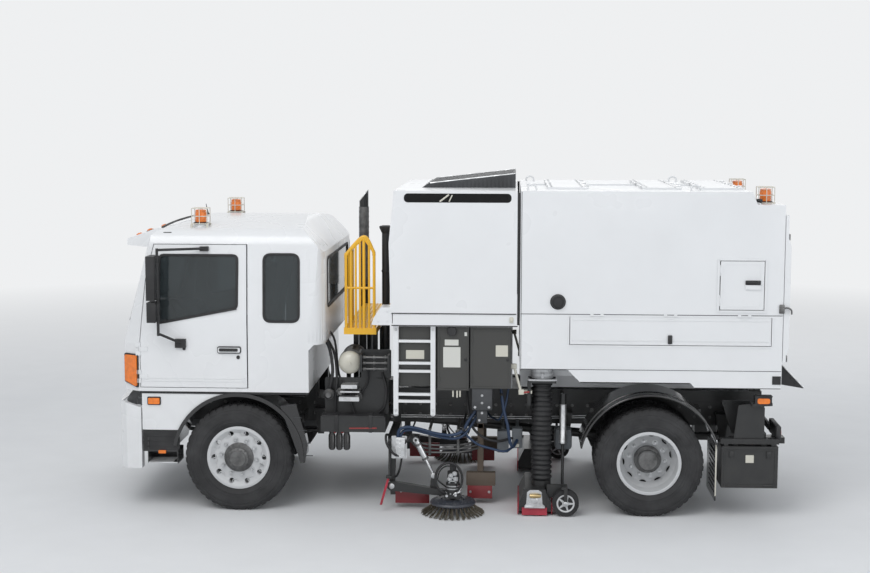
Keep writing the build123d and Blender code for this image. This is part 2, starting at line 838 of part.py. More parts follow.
# Behind the cab: catwalk with its rails, stack, snorkel, air tanks, battery box and fuel tank
deck_z = 1720.0
deck_x0 = -1065.0
deck_x1 = -758.0
walk = block(deck_x0, deck_x1, -950, 950, deck_z - 60, deck_z)
walk -= block(deck_x0 + 8, deck_x1 - 8, -942, 942, deck_z - 61, deck_z - 8)
for x in (deck_x0 + 60, deck_x1 - 60):
    for side in (-1, 1):
        walk += block(x - 25, x + 25, side * 360, side * 425, rail_top_z + 0.3, deck_z - 4)
for y in (-930, -640, -350):
    walk += tube((deck_x0 + 20, y, deck_z - 10), (deck_x0 + 20, y, 2420), 14)
walk += tube((deck_x0 + 20, -944, 2420), (deck_x0 + 20, -336, 2420), 14)
for x, top in ((deck_x0 + 190, 2580.0), (deck_x1 - 20, 2440.0)):
    walk += tube((x, -930, deck_z - 10), (x, -930, top), 14)
walk += tube((deck_x0 + 20, -930, 2420), (deck_x0 + 190, -930, 2580), 14)
walk += tube((deck_x0 + 190, -930, 2580), (deck_x1 - 20, -930, 2440), 14)
nodes["catwalk"] = walk

stack_x = -1069.0
stack_y = 1040.0
stack = tube((stack_x, stack_y, 1300), (stack_x, stack_y, 2960), 48)
stack += tube((stack_x, stack_y, 900), (stack_x, stack_y, 1500), 95)
stack += block(stack_x - 40, stack_x + 40, rail_outer_y + 0.3, stack_y, 905, 945)
stack -= side_plate([(-1130, 2785), (-1005, 2955), (-1005, 3000), (-1130, 3000)], 900, 1200)
snorkel = tube((-712, -400, rail_top_z + 160), (-712, -400, 2655), 38)
snorkel += block(-750, -640, -500, -300, rail_top_z + 0.3, 1150)
snorkel += block(-730, -670, -rail_inner_y - 30, rail_inner_y + 30, rail_top_z + 0.3, rail_top_z + 60)
nodes["stacks"] = group(stack, snorkel)
tanks = tube((-1010, -950, 1390), (-1010, -470, 1390), 107)
tanks += block(-1090, -1050, -520, -475, rail_top_z + 0.3, 1390)
tanks += block(-1090, -1050, -520, -400, rail_top_z + 0.3, rail_top_z + 20)
battery = block(-1270, -660, -1120, -rail_outer_y - 30, 755, 900)
battery += block(-1250, -1200, -rail_outer_y - 31, -rail_outer_y - 0.3, 760, 880)
battery += block(-780, -730, -rail_outer_y - 31, -rail_outer_y - 0.3, 760, 880)
tank = side_plate([(-1270, 560), (-660, 560), (-660, 880), (-1270, 880)], rail_outer_y + 30, 1120, 60)
tank += block(-1250, -1200, rail_outer_y + 0.3, rail_outer_y + 31, 760, 860)
tank += block(-780, -730, rail_outer_y + 0.3, rail_outer_y + 31, 760, 860)
nodes["tanks_and_boxes"] = group(tanks, battery, tank)

# Subframe on the rails
sub_top = 1060.0
sub = block(-640, tip_axis_x + 60, 352, 428, rail_top_z + 0.3, sub_top)
sub -= block(-641, tip_axis_x + 61, 351, 420, rail_top_z + 8, sub_top - 8)
sub = sub + mirror(sub, Plane.XZ)
for x in (-560.0, 560.0, 2100.0):
    sub += block(x - 40, x + 40, -424, 424, 965, 1045)
for side in (-1, 1):
    lug = side_plate(
        [
            (tip_axis_x - 60, sub_top - 20),
            (tip_axis_x + 60, sub_top - 20),
            (tip_axis_x + 30, tip_axis_z + 40),
            (tip_axis_x - 30, tip_axis_z + 40),
        ],
        side * 360,
        side * 390,
    )
    sub += lug
sub += tube((tip_axis_x, -470, tip_axis_z), (tip_axis_x, 470, tip_axis_z), 22)
nodes["subframe"] = sub

# Engine cover: a folded shell on a plinth, with long vents and a raised intake
cover_outline = [
    (canopy_front_x - 7, canopy_bottom_z),
    (canopy_front_x - 25, 2550),
    (canopy_front_x + 22, canopy_top_z),
    (canopy_rear_x, canopy_top_z),
    (canopy_rear_x, canopy_bottom_z),
]
cover = side_plate(cover_outline, -body_half_width, body_half_width)
inner_outline = [
    (canopy_front_x + canopy_wall, canopy_bottom_z - 1),
    (canopy_front_x, 2550),
    (canopy_front_x + 45, canopy_top_z - canopy_wall),
    (canopy_rear_x - canopy_wall, canopy_top_z - canopy_wall),
    (canopy_rear_x - canopy_wall, canopy_bottom_z - 1),
]
hollow = side_plate(inner_outline, -body_half_width + canopy_wall, body_half_width - canopy_wall)
cover -= hollow
vent = side_plate([(-475, 2926), (512, 2926), (512, 3010), (-475, 3010)], body_half_width - 14, body_half_width + side_cut_reach, 38)
cover -= vent
cover -= mirror(vent, Plane.XZ)
cover += side_plate(
    [(-348, canopy_top_z - 2), (-272, 3076), (550, 3170), (550, canopy_top_z - 2)],
    -620,
    620,
)
plinth = block(canopy_front_x + 12, canopy_rear_x, -body_half_width + 6, body_half_width - 6, band_bottom_z, canopy_bottom_z)
plinth -= block(
    canopy_front_x + 40,
    canopy_rear_x - 30,
    -body_half_width + 90,
    body_half_width - 90,
    band_bottom_z - 1,
    canopy_bottom_z + 1,
)
for x in (-520.0, 500.0):
    plinth += block(x - 35, x + 35, -body_half_width + 10, body_half_width - 10, band_bottom_z, band_bottom_z + 60)
    for side in (-1, 1):
        plinth += block(x - 30, x + 30, side * 360, side * 420, sub_top + 0.3, band_bottom_z + 30)
nodes["canopy"] = group(cover, plinth)
motor = block(-460, 420, -330, 330, 1080, 1720)
motor += block(-300, 300, -260, 260, 1720, 2300)
motor += block(-420, -340, -400, 400, sub_top + 0.3, 1090)
motor += block(300, 380, -400, 400, sub_top + 0.3, 1090)
nodes["auxiliary_engine"] = motor

# Under the cover: steps on both sides and the service cabinets
steps = block(-576, -531, 1150, 1195, 943, band_bottom_z - 0.3)
steps += block(-230, -185, 1150, 1195, 943, band_bottom_z - 0.3)
for z in (1068.0, 1134.0, 1352.0, 1428.0, 1635.0):
    steps += block(-540, -220, 1155, 1190, z - 12, z + 12)
cabinet = block(-166, 127, 860, 1195, 1176, band_bottom_z - 0.3)
cabinet_2 = block(140, 517, 860, 1195, 1197, band_bottom_z - 0.3)
nodes["ladders"] = both(steps)
nodes["cabinets"] = both(group(cabinet, cabinet_2))

# Hopper: a hollow body with sloped inner walls, lockers behind its skirts and a chute
skirt_outline = [
    (hopper_front_x, skirt_front_z),
    (1034, skirt_front_z),
    (1149, skirt_mid_z),
    (2163, skirt_mid_z),
    (2200, skirt_rear_z),
    (hopper_rear_x, skirt_rear_z),
    (hopper_rear_x, hopper_top_z),
    (hopper_front_x, hopper_top_z),
]
keel_y = 905.0
shelf_y = 930.0
outer_half = [
    (keel_y, 1275),
    (shelf_y, hopper_seam_z),
    (body_half_width, hopper_seam_z),
    (body_half_width, hopper_top_z),
]
inner_half = [
    (keel_y - 25, 1300),
    (shelf_y - 25, hopper_seam_z + 24),
    (body_half_width - hopper_wall, hopper_seam_z + 84),
    (body_half_width - hopper_wall, hopper_top_z - hopper_wall),
]


def mirrored_section(half):
    return [*half, *[(-y, z) for y, z in reversed(half)]]


body = cross_plate(mirrored_section(outer_half), hopper_front_x, hopper_rear_x)
body -= cross_plate(mirrored_section(inner_half), hopper_front_x + hopper_wall, hopper_rear_x + 1)
locker_inner_y = body_half_width - locker_depth
for side in (-1, 1):
    skirt = side_plate(skirt_outline, side * (body_half_width - hopper_wall), side * body_half_width)
    skirt -= block(hopper_front_x - 1, hopper_rear_x + 1, -body_half_width - side_cut_reach, body_half_width + side_cut_reach, hopper_seam_z, 3200)
    skirt += block(
        hopper_front_x,
        hopper_front_x + hopper_wall,
        side * (keel_y - 5),
        side * body_half_width,
        skirt_front_z,
        hopper_seam_z,
    )
    skirt += block(
        hopper_rear_x - hopper_wall,
        hopper_rear_x,
        side * (keel_y - 5),
        side * body_half_width,
        skirt_rear_z + 40,
        hopper_seam_z,
    )
    skirt += block(
        locker_front_x - 20,
        locker_rear_x + 20,
        side * (shelf_y - 20),
        side * body_half_width,
        locker_bottom_z - 20,
        locker_top_z + 6,
    )
    skirt -= block(
        locker_front_x,
        locker_rear_x,
        side * locker_inner_y,
        side * (body_half_width + 1),
        locker_bottom_z,
        locker_top_z,
    )
    skirt += tube((hose_x, side * hose_y, 1275), (hose_x, side * hose_y, 1580), hose_radius)
    skirt += block(hose_x - 90, hose_x + 90, side * (keel_y - 5), side * hose_y, 1400, 1580)
    body += skirt
roof_end = [
    (roof_rear_x - 21, hopper_top_z),
    (roof_rear_x, hopper_top_z),
    (shelf_front_x, shelf_top_z),
    (hopper_rear_x, shelf_top_z),
    (hopper_rear_x, shelf_top_z - hopper_wall),
    (shelf_front_x - 14, shelf_top_z - hopper_wall),
]
body += side_plate(roof_end, -body_half_width + 5, body_half_width - 5)
body -= side_plate(
    [
        (roof_rear_x, hopper_top_z + 50),
        (roof_rear_x, hopper_top_z),
        (shelf_front_x, shelf_top_z),
        (hopper_rear_x + 9, shelf_top_z),
        (hopper_rear_x + 9, hopper_top_z + 50),
    ],
    -body_half_width - side_cut_reach,
    body_half_width + side_cut_reach,
)
hatch_hole = block(hatch_front_x, hatch_rear_x, body_half_width - 145, body_half_width + side_cut_reach, hatch_bottom_z, hatch_top_z)
body -= hatch_hole
body -= mirror(hatch_hole, Plane.XZ)
for side in (-1, 1):
    body += block(hopper_front_x + 10, tip_axis_x + 40, side * 400, side * 470, 1090, 1280)
    body -= tube(
        (tip_axis_x, side * 380, tip_axis_z), (tip_axis_x, side * 480, tip_axis_z), 22 + running_gap
    )
ribs = block(hopper_front_x + 60, roof_rear_x - 40, -20, 20, hopper_top_z, hopper_top_z + 14)
for x0, x1 in ((850.0, 1230.0), (1735.0, 2095.0), (2265.0, 2670.0)):
    ribs += block(x0, x1, -850, 850, hopper_top_z, hopper_top_z + 18)
for y in (-888.0, 888.0):
    ribs += tube((2860, y, shelf_top_z - 1), (2860, y, shelf_top_z + 14), 62)
    ribs += tube((2860, y, shelf_top_z), (2860, y, shelf_top_z + 130), 50)

lip = side_plate(
    [(hopper_rear_x, 1250), (3225, 1214), (hopper_rear_x, 1471)], -1100, -1080
)
lip += mirror(lip, Plane.XZ)
lip += side_plate(
    [(hopper_rear_x, 1250), (3225, 1214), (3225, 1226), (hopper_rear_x, 1270)], -1100, 1100
)
nodes["hopper_body"] = fused(body, ribs, lip)

gate_x = hopper_rear_x + panel_gap
gate_hinge_x = hopper_rear_x + 21
gate_top_z = tailgate_hinge_z - 35
gate = block(
    gate_x,
    gate_x + 30,
    -body_half_width + 8,
    body_half_width - 8,
    tailgate_bottom_z,
    gate_top_z,
)
for y in (-1215.0, -640.0, 0.0, 640.0, 1215.0):
    gate += side_plate(
        [
            (gate_x + 28, 1545),
            (gate_x + 55, 1600),
            (gate_x + 55, 2540),
            (gate_x + 28, 2620),
        ],
        y - 22,
        y + 22,
    )
ears = []
for y in (-800.0, 0.0, 800.0):
    gate += block(gate_x, gate_x + 30, y - 20, y + 20, gate_top_z - 5, tailgate_hinge_z)
    gate += tube((gate_hinge_x, y - 20, tailgate_hinge_z), (gate_hinge_x, y + 20, tailgate_hinge_z), 18)
    gate -= tube((gate_hinge_x, y - 21, tailgate_hinge_z), (gate_hinge_x, y + 21, tailgate_hinge_z), 9.4)
    for end in (-1, 1):
        y0 = y + end * 21
        y1 = y + end * 45
        ears.append(block(hopper_rear_x - 1, gate_hinge_x, y0, y1, tailgate_hinge_z - 16, tailgate_hinge_z + 16))
        ears.append(tube((gate_hinge_x, y0, tailgate_hinge_z), (gate_hinge_x, y1, tailgate_hinge_z), 16))
        ears.append(block(hopper_rear_x - 25, hopper_rear_x, y0, y1, tailgate_hinge_z - 16, shelf_top_z - 4))
    ears.append(tube((gate_hinge_x, y - 45, tailgate_hinge_z), (gate_hinge_x, y + 45, tailgate_hinge_z), 9))
nodes["hopper_body"] = fused(nodes["hopper_body"], *ears)
nodes["tailgate"] = gate

# Locker flaps and hatches on surface hinges
side_hinge_radius = 7.0
side_hinge_pin = 4.0
side_hinge_y = body_half_width + side_hinge_radius + 0.3
locker_axis_z = locker_top_z - panel_gap / 2
hatch_axis_x = hatch_front_x
fixed_halves = []
for name, side in (("left", -1), ("right", 1)):
    flap = block(
        locker_front_x + panel_gap,
        locker_rear_x - panel_gap,
        side * (body_half_width - 22),
        side * body_half_width,
        locker_bottom_z + panel_gap,
        locker_top_z - panel_gap,
    )
    y = side * side_hinge_y
    skin_y = side * body_half_width
    leaf_y = side * (body_half_width + 4)
    for x in (locker_front_x + 250, (locker_front_x + locker_rear_x) / 2, locker_rear_x - 250):
        flap += tube((x - 30, y, locker_axis_z), (x + 30, y, locker_axis_z), side_hinge_radius)
        flap += block(x - 30, x + 30, side * (body_half_width - 4), leaf_y, locker_axis_z - 26, locker_axis_z - 4)
        flap += block(x - 30, x + 30, skin_y, leaf_y + side * 3, locker_axis_z - 8, locker_axis_z)
        flap -= tube((x - 31, y, locker_axis_z), (x + 31, y, locker_axis_z), side_hinge_pin + 0.3)
        for end in (-1, 1):
            x0 = x + end * 31
            x1 = x + end * 61
            half = tube((x0, y, locker_axis_z), (x1, y, locker_axis_z), side_hinge_radius)
            half += block(x0, x1, skin_y, leaf_y, locker_axis_z, locker_axis_z + 26)
            half += block(x0, x1, side * (body_half_width - 2), leaf_y, locker_top_z + 1, locker_top_z + 20)
            fixed_halves.append(half)
        fixed_halves.append(tube((x - 61, y, locker_axis_z), (x + 61, y, locker_axis_z), side_hinge_pin))
    nodes["locker_flap_" + name] = flap
    hatch = block(
        hatch_front_x + panel_gap + 3,
        hatch_rear_x - panel_gap,
        side * (body_half_width - 16),
        side * (body_half_width + 6),
        hatch_bottom_z + panel_gap,
        hatch_top_z - panel_gap,
    )
    hatch += block(2640, 2780, side * (body_half_width + 4), side * (body_half_width + 22), 2150, 2190)
    for z in (hatch_bottom_z + 90, hatch_top_z - 90):
        hatch += tube((hatch_axis_x, y, z - 25), (hatch_axis_x, y, z + 25), side_hinge_radius)
        hatch += block(hatch_axis_x, hatch_axis_x + 30, skin_y + side * 2, leaf_y + side * 4, z - 25, z + 25)
        hatch -= tube((hatch_axis_x, y, z - 26), (hatch_axis_x, y, z + 26), side_hinge_pin + 0.3)
        for end in (-1, 1):
            z0 = z + end * 26
            z1 = z + end * 50
            half = tube((hatch_axis_x, y, z0), (hatch_axis_x, y, z1), side_hinge_radius)
            half += block(hatch_axis_x - 26, hatch_axis_x, side * (body_half_width - 2), leaf_y, z0, z1)
            fixed_halves.append(half)
        fixed_halves.append(tube((hatch_axis_x, y, z - 50), (hatch_axis_x, y, z + 50), side_hinge_pin))
    nodes["hatch_" + name] = hatch
nodes["hopper_body"] = fused(nodes["hopper_body"], *fixed_halves)

# Rear mudguards, flaps, toolboxes, lamp brackets and hitch
guard_radius = 640.0
guard_plane = Plane(origin=(rear_axle_x, 1236, tyre_radius), x_dir=(1, 0, 0), z_dir=(0, -1, 0))
mudguard = extrude(guard_plane * (Circle(guard_radius + 12) - Circle(guard_radius)), 616)
mudguard &= block(rear_axle_x - 640, rear_axle_x + 630, 600, 1300, 650, 1300)
mudguard += block(rear_axle_x + 604, rear_axle_x + 616, 640, 1220, 170, 720)
for x in (rear_axle_x - 500.0, rear_axle_x + 500.0):
    mudguard += block(x - 30, x + 30, rail_outer_y + 0.3, 700, 880, 930)
nodes["wheel_arches"] = group(front_arches, both(mudguard))

box_x0 = 2472.0
box_x1 = 2988.0
toolbox = block(box_x0, box_x1, 880, 1200, 291, 673)
toolbox += block(box_x0 + 20, box_x0 + 60, 900, 1180, 673, 700)
toolbox += block(box_x1 - 60, box_x1 - 20, 900, 1180, 673, 700)
toolbox += block(box_x0 - 10, box_x1 + 10, 1100, 1180, 700, 749)
toolbox += block(box_x0 + 170, box_x0 + 220, rail_outer_y + 0.3, 1110, 735, 790)
toolbox += block(box_x1 - 150, box_x1 - 100, rail_outer_y + 0.3, 1110, 735, 790)
toolbox += side_plate([(2583, 749), (2862, 749), (2862, 1040), (2760, 1075), (2620, 1060)], 1140, 1160)
toolbox += side_plate([(2740, 1055), (2925, 1065), (2925, 1090), (2740, 1080)], 1060, 1200)
lamps = block(2764, 2919, 1110, 1200, 1074, 1150)
nodes["toolboxes"] = both(toolbox + lamps)

ball_x = frame_rear_x + 200
hitch = block(frame_rear_x + 0.3, frame_rear_x + 30, -430, 430, 640, 930)
hitch += block(frame_rear_x + 20, frame_rear_x + 300, -70, 70, 470, 530)
hitch += side_plate([(frame_rear_x + 20, 480), (frame_rear_x + 120, 520), (frame_rear_x + 20, 700)], -60, 60)
hitch += block(frame_rear_x + 0.3, frame_rear_x + 30, -200, 200, 460, 660)
hitch += tube((ball_x, 0, 525), (ball_x, 0, 560), 20)
hitch += Pos(ball_x, 0, 580) * Sphere(25)
hitch -= tube((ball_x + 65, 0, 460), (ball_x + 65, 0, 540), hitch_bore_radius)
nodes["hitch"] = hitch

# Sweeping gear, one set on each side
gear_beam_z = 560.0
arm_y0 = 1060.0
arm_y1 = 1120.0
cyl_top = (-373.0, 683.0)
cyl_low = (-205.0, 347.0)
carrier_parts = []
for side in (-1, 1):
    carrier = block(-640, -560, side * 370, side * 1050, 640, 712)
    carrier += side_plate([(-640, 712), (-560, 712), (-575, 205), (-625, 205)], side * 1000, side * 1050)
    carrier += tube((arm_pivot_x, side * 1000, arm_pivot_z), (arm_pivot_x, side * 1130, arm_pivot_z), 16)
    head = block(-560, cyl_top[0] + 30, side * 960, side * 1000, 640, 712)
    carrier += head
    carrier += tube((cyl_top[0], side * 960, cyl_top[1]), (cyl_top[0], side * 1110, cyl_top[1]), 12)
    carrier += block(-640, -560, side * (rail_outer_y + 0.3), side * (rail_outer_y + 20), 690, 900)
    carrier += block(-549, -300, side * 985, side * 1000, 75, 197)
    carrier += block(-620, -545, side * 985, side * 1002, 130, 240)
    carrier_parts.append(carrier)

cyl_dir = Vector(cyl_low[0] - cyl_top[0], 0, cyl_low[1] - cyl_top[1]).normalized()
for name, side in (("left", -1), ("right", 1)):
    y0 = side * arm_y0
    y1 = side * arm_y1
    ym = side * (arm_y0 + arm_y1) / 2
    arm = side_plate(
        [
            (arm_pivot_x, arm_pivot_z - 45),
            (-150, 155),
            (30, 155),
            (30, 215),
            (-150, 215),
            (arm_pivot_x, arm_pivot_z + 45),
        ],
        y0,
        y1,
    )
    arm += tube((arm_pivot_x, y0, arm_pivot_z), (arm_pivot_x, y1, arm_pivot_z), 45)
    arm += side_plate(
        [(cyl_low[0] - 40, 190), (cyl_low[0] + 40, 190), (cyl_low[0] + 20, cyl_low[1] + 10), (cyl_low[0] - 20, cyl_low[1] + 10)],
        y0,
        side * (arm_y0 + 16),
    )
    arm += tube((cyl_low[0], y0, cyl_low[1]), (cyl_low[0], y1, cyl_low[1]), 9)
    arm += block(brush_x - 75, brush_x + 75, side * (arm_y1 - 20), side * (brush_y + 75), 155, 195)
    arm += tube((brush_x, side * brush_y, 155), (brush_x, side * brush_y, 300), 66)
    arm += tube((brush_x, side * brush_y, 300), (brush_x, side * brush_y, 400), 52)
    arm += tube((brush_x, side * brush_y, 400), (brush_x, side * brush_y, 470), 30)
    arm -= tube((brush_x, side * brush_y, 150), (brush_x, side * brush_y, 232), 20 + running_gap)
    arm -= tube((arm_pivot_x, y0 - side, arm_pivot_z), (arm_pivot_x, y1 + side, arm_pivot_z), 16 + running_gap)
    nodes["brush_arm_" + name] = arm

    y = side * brush_y
    brush = tube((brush_x, y, 92), (brush_x, y, 132), brush_plate_radius)
    brush += tube((brush_x, y, 132), (brush_x, y, 148), 70)
    brush += tube((brush_x, y, 148), (brush_x, y, 230), 20)
    skirt = Pos(brush_x, y, 47) * Cone(bristle_radius, brush_plate_radius - 20, 90)
    nodes["brush_" + name] = brush + skirt

    top = Vector(cyl_top[0], ym, cyl_top[1])
    barrel_end = top + cyl_dir * 212
    barrel = tube(tuple(top + cyl_dir * 10), tuple(barrel_end), 28)
    barrel += tube((cyl_top[0], y0 + side * 8, cyl_top[1]), (cyl_top[0], y1 - side * 8, cyl_top[1]), 26)
    barrel -= tube((cyl_top[0], y0, cyl_top[1]), (cyl_top[0], y1, cyl_top[1]), 12 + running_gap)
    barrel -= tube(tuple(top + cyl_dir * 40), tuple(barrel_end + cyl_dir * 5), 12 + running_gap)
    nodes["lift_barrel_" + name] = barrel
    low = Vector(cyl_low[0], ym, cyl_low[1])
    rod = tube(tuple(top + cyl_dir * 175), tuple(low - cyl_dir * 20), 12)
    eye = tube((cyl_low[0], y0 + side * 20, cyl_low[1]), (cyl_low[0], y1 - side * 8, cyl_low[1]), 24)
    rod += eye
    rod -= tube((cyl_low[0], y0, cyl_low[1]), (cyl_low[0], y1, cyl_low[1]), 15)
    nodes["lift_rod_" + name] = rod

    nozzle = side_plate(
        [
            (nozzle_front_x, 40),
            (nozzle_rear_x, 40),
            (nozzle_rear_x, 120),
            (nozzle_rear_x - 60, 250),
            (nozzle_front_x + 60, 250),
            (nozzle_front_x, 120),
        ],
        side * nozzle_inner_y,
        side * nozzle_outer_y,
    )
    nozzle -= side_plate(
        [
            (nozzle_front_x + 15, 39),
            (nozzle_rear_x - 15, 39),
            (nozzle_rear_x - 15, 115),
            (nozzle_rear_x - 70, 235),
            (nozzle_front_x + 70, 235),
            (nozzle_front_x + 15, 115),
        ],
        side * (nozzle_inner_y + 15),
        side * (nozzle_outer_y - 15),
    )
    y = side * hose_y
    nozzle += tube((hose_x, y, 240), (hose_x, y, 300), hose_radius - 8)
    nozzle -= tube((hose_x, y, 200), (hose_x, y, 301), hose_radius - 20)
    nozzle += block(640, 850, side * (nozzle_outer_y - 1), side * (nozzle_outer_y + 13), 75, 250)
    nozzle += block(860, castor_x + 16, side * 1118, side * 1146, 160, 285)
    nozzle += block(castor_x - 16, castor_x + 16, side * 1118, side * 1146, 112, 285)
    nozzle += block(castor_x - 40, castor_x + 16, side * 1118, side * 1264, 262, 285)
    nozzle += block(castor_x - 16, castor_x + 16, side * 1252, side * 1264, 112, 285)
    nozzle += tube((castor_x, side * 1120, castor_z), (castor_x, side * 1262, castor_z), 12)
    nozzle += block(852, 1026, side * 950, side * 990, 180, 236)
    nozzle += tube((1010, side * 970, 200), (1010, side * 970, 800), 14)
    nodes["nozzle_" + name] = nozzle
    inner = side * (castor_y - 42)
    outer = side * (castor_y + 42)
    castor = tube((castor_x, inner, castor_z), (castor_x, outer, castor_z), castor_radius)
    castor -= tube(
        (castor_x, side * (castor_y - 50), castor_z),
        (castor_x, side * (castor_y + 50), castor_z),
        12 + running_gap,
    )
    nodes["castor_" + name] = castor
    nodes["hose_" + name] = tube((hose_x, y, 300.3), (hose_x, y, 1240), hose_radius)

# Fixed tops of the suction hoses and the nozzle lifts
fixed_top = block(hose_x - 130, hose_x + 130, 870, 1130, 1240.3, 1262)
fixed_top -= tube((hose_x, hose_y, 1200), (hose_x, hose_y, 1300), hose_radius - 20)
fixed_top += block(hose_x - 138, hose_x - 108, rail_outer_y + 0.3, 1130, 1030, 1070)
fixed_top += block(hose_x - 138, hose_x - 108, 1000, 1130, 1030, 1262)
fixed_top += block(hose_x - 138, hose_x - 108, rail_outer_y + 0.3, rail_outer_y + 30, 850, 1070)
lift = tube((1010, 970, 640), (1010, 970, 1120), 30)
lift -= tube((1010, 970, 600), (1010, 970, 1000), 14 + running_gap)
lift += block(995, 1025, rail_outer_y + 0.3, 945, 1005, 1045)
lift += block(995, 1025, rail_outer_y + 0.3, rail_outer_y + 20, 870, 1040)
nodes["gear_carrier"] = group(*carrier_parts, both(group(fixed_top, lift)))

# Written out, one file for each piece
os.makedirs("parts", exist_ok=True)
for name, shape in nodes.items():
    shape.label = name
    export_step(shape, f"parts/{name}.step")
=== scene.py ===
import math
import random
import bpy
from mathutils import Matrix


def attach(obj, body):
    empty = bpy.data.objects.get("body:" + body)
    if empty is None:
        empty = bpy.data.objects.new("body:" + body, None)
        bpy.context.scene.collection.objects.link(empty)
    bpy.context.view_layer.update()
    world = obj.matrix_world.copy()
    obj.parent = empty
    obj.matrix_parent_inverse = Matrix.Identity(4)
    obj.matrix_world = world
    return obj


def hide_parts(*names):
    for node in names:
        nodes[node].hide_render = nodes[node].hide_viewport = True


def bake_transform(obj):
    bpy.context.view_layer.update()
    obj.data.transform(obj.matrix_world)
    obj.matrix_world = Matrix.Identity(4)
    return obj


bl_info = {
    "name": "Street sweeper truck",
    "version": (1, 0, 0),
    "blender": (4, 5, 0),
    "location": "View3D > Sidebar > Sweeper",
    "description": "Dresses the street sweeper truck with its finishes and fittings",
    "category": "Object",
}

import bmesh
import bpy
from bpy.props import FloatProperty, FloatVectorProperty, IntProperty, PointerProperty
from mathutils import Matrix, Vector

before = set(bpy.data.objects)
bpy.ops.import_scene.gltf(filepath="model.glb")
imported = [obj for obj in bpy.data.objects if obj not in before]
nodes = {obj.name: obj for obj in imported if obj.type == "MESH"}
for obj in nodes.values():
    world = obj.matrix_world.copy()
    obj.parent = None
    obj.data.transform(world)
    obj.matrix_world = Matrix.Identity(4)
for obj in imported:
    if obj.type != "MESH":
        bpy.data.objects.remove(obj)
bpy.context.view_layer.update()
TRUCK = "truck"
LEFT = (("_left", -1),)
RIGHT = (("_right", 1),)
BOTH = LEFT + RIGHT
MIDDLE = (("", 1),)
FORE, AFT, OUT, UP, DOWN = (-1, 0, 0), (1, 0, 0), (0, 1, 0), (0, 0, 1), (0, 0, -1)


# Settings


def colour_setting(name, description, default):
    return FloatVectorProperty(
        name=name, description=description, subtype="COLOR", default=default, min=0, max=1
    )


class PaintSettings(bpy.types.PropertyGroup):
    white: colour_setting("White", "Cab and body paint", (0.80, 0.81, 0.82))
    yellow: colour_setting("Yellow", "Catwalk and hand rail paint", (0.86, 0.47, 0.02))
    black: colour_setting("Black", "Chassis paint", (0.012, 0.013, 0.014))
    silver: colour_setting("Wheel silver", "Wheel disc paint", (0.60, 0.61, 0.62))
    red: colour_setting("Red", "Sweeping gear paint", (0.30, 0.02, 0.02))
    amber: colour_setting("Amber", "Amber lamp lenses", (0.95, 0.22, 0.01))


class TyreSettings(bpy.types.PropertyGroup):
    blocks: IntProperty(
        name="Tread blocks", description="Blocks round the tyre in each row", default=44, min=12, max=90
    )
    groove: FloatProperty(
        name="Groove depth",
        description="Depth of the tread grooves",
        unit="LENGTH",
        default=0.011,
        min=0.002,
        max=0.02,
    )
    tufts: IntProperty(
        name="Bristle tufts", description="Tufts round each brush", default=32, min=12, max=60
    )


class StageSettings(bpy.types.PropertyGroup):
    key_power: FloatProperty(
        name="Key light", description="Strength of the large lamp", default=620.0, min=0
    )
    daylight: FloatProperty(
        name="Daylight", description="Strength of the light from all round", default=0.55, min=0
    )
    floor: colour_setting("Floor", "Floor colour", (0.80, 0.81, 0.82))
    background: colour_setting("Background", "Colour behind the truck", (0.86, 0.87, 0.88))


# Materials


def set_inputs(node, **values):
    """Sets inputs of a shader node by name, with _ for a space."""
    for name, value in values.items():
        node.inputs[name.replace("_", " ")].default_value = value
    return node


def add_node(tree, kind, **values):
    return set_inputs(tree.nodes.new("ShaderNode" + kind), **values)


def new_material(name):
    material = bpy.data.materials.new(name)
    material.use_nodes = True
    tree = material.node_tree
    tree.nodes.clear()
    out = add_node(tree, "OutputMaterial")
    shader = add_node(tree, "BsdfPrincipled")
    tree.links.new(shader.outputs[0], out.inputs[0])
    return material, tree, shader


def noise(tree, scale, detail=4.0, stretch=(1, 1, 1)):
    coords = add_node(tree, "TexCoord")
    mapping = add_node(tree, "Mapping", Scale=stretch)
    tree.links.new(coords.outputs["Object"], mapping.inputs["Vector"])
    texture = add_node(tree, "TexNoise", Scale=scale, Detail=detail, Roughness=0.55)
    tree.links.new(mapping.outputs[0], texture.inputs["Vector"])
    return texture.outputs["Fac"]


def ramp(tree, value, low, high, first, last):
    node = add_node(tree, "MapRange", From_Min=low, From_Max=high, To_Min=first, To_Max=last)
    tree.links.new(value, node.inputs["Value"])
    return node.outputs[0]


def arithmetic(tree, operation, first, second):
    node = add_node(tree, "Math")
    node.operation = operation
    tree.links.new(first, node.inputs[0])
    tree.links.new(second, node.inputs[1])
    return node.outputs[0]


def colour_mix(tree, factor, first, second):
    """Mixes two colours, where the first can be a link."""
    node = add_node(tree, "Mix")
    node.data_type = "RGBA"
    if isinstance(first, bpy.types.NodeSocket):
        tree.links.new(first, node.inputs[6])
    else:
        node.inputs[6].default_value = (*first, 1)
    node.inputs[7].default_value = (*second, 1)
    tree.links.new(factor, node.inputs[0])
    return node.outputs[2]


def bump(tree, shader, height, strength, distance):
    node = add_node(tree, "Bump", Strength=strength, Distance=distance)
    tree.links.new(height, node.inputs["Height"])
    tree.links.new(node.outputs[0], shader.inputs["Normal"])


def darker(colour, share):
    return tuple(c * share for c in colour)


def patchy(tree, shader, value, colour, second, roughness, low=0.8, high=1.5):
    """Colour and gloss that vary with the same patches."""
    tint = colour_mix(tree, ramp(tree, value, 0.38, 0.72, 0, 1), colour, second)
    gloss = ramp(tree, value, 0.3, 0.75, roughness * low, min(1, roughness * high))
    tree.links.new(gloss, shader.inputs["Roughness"])
    return tint


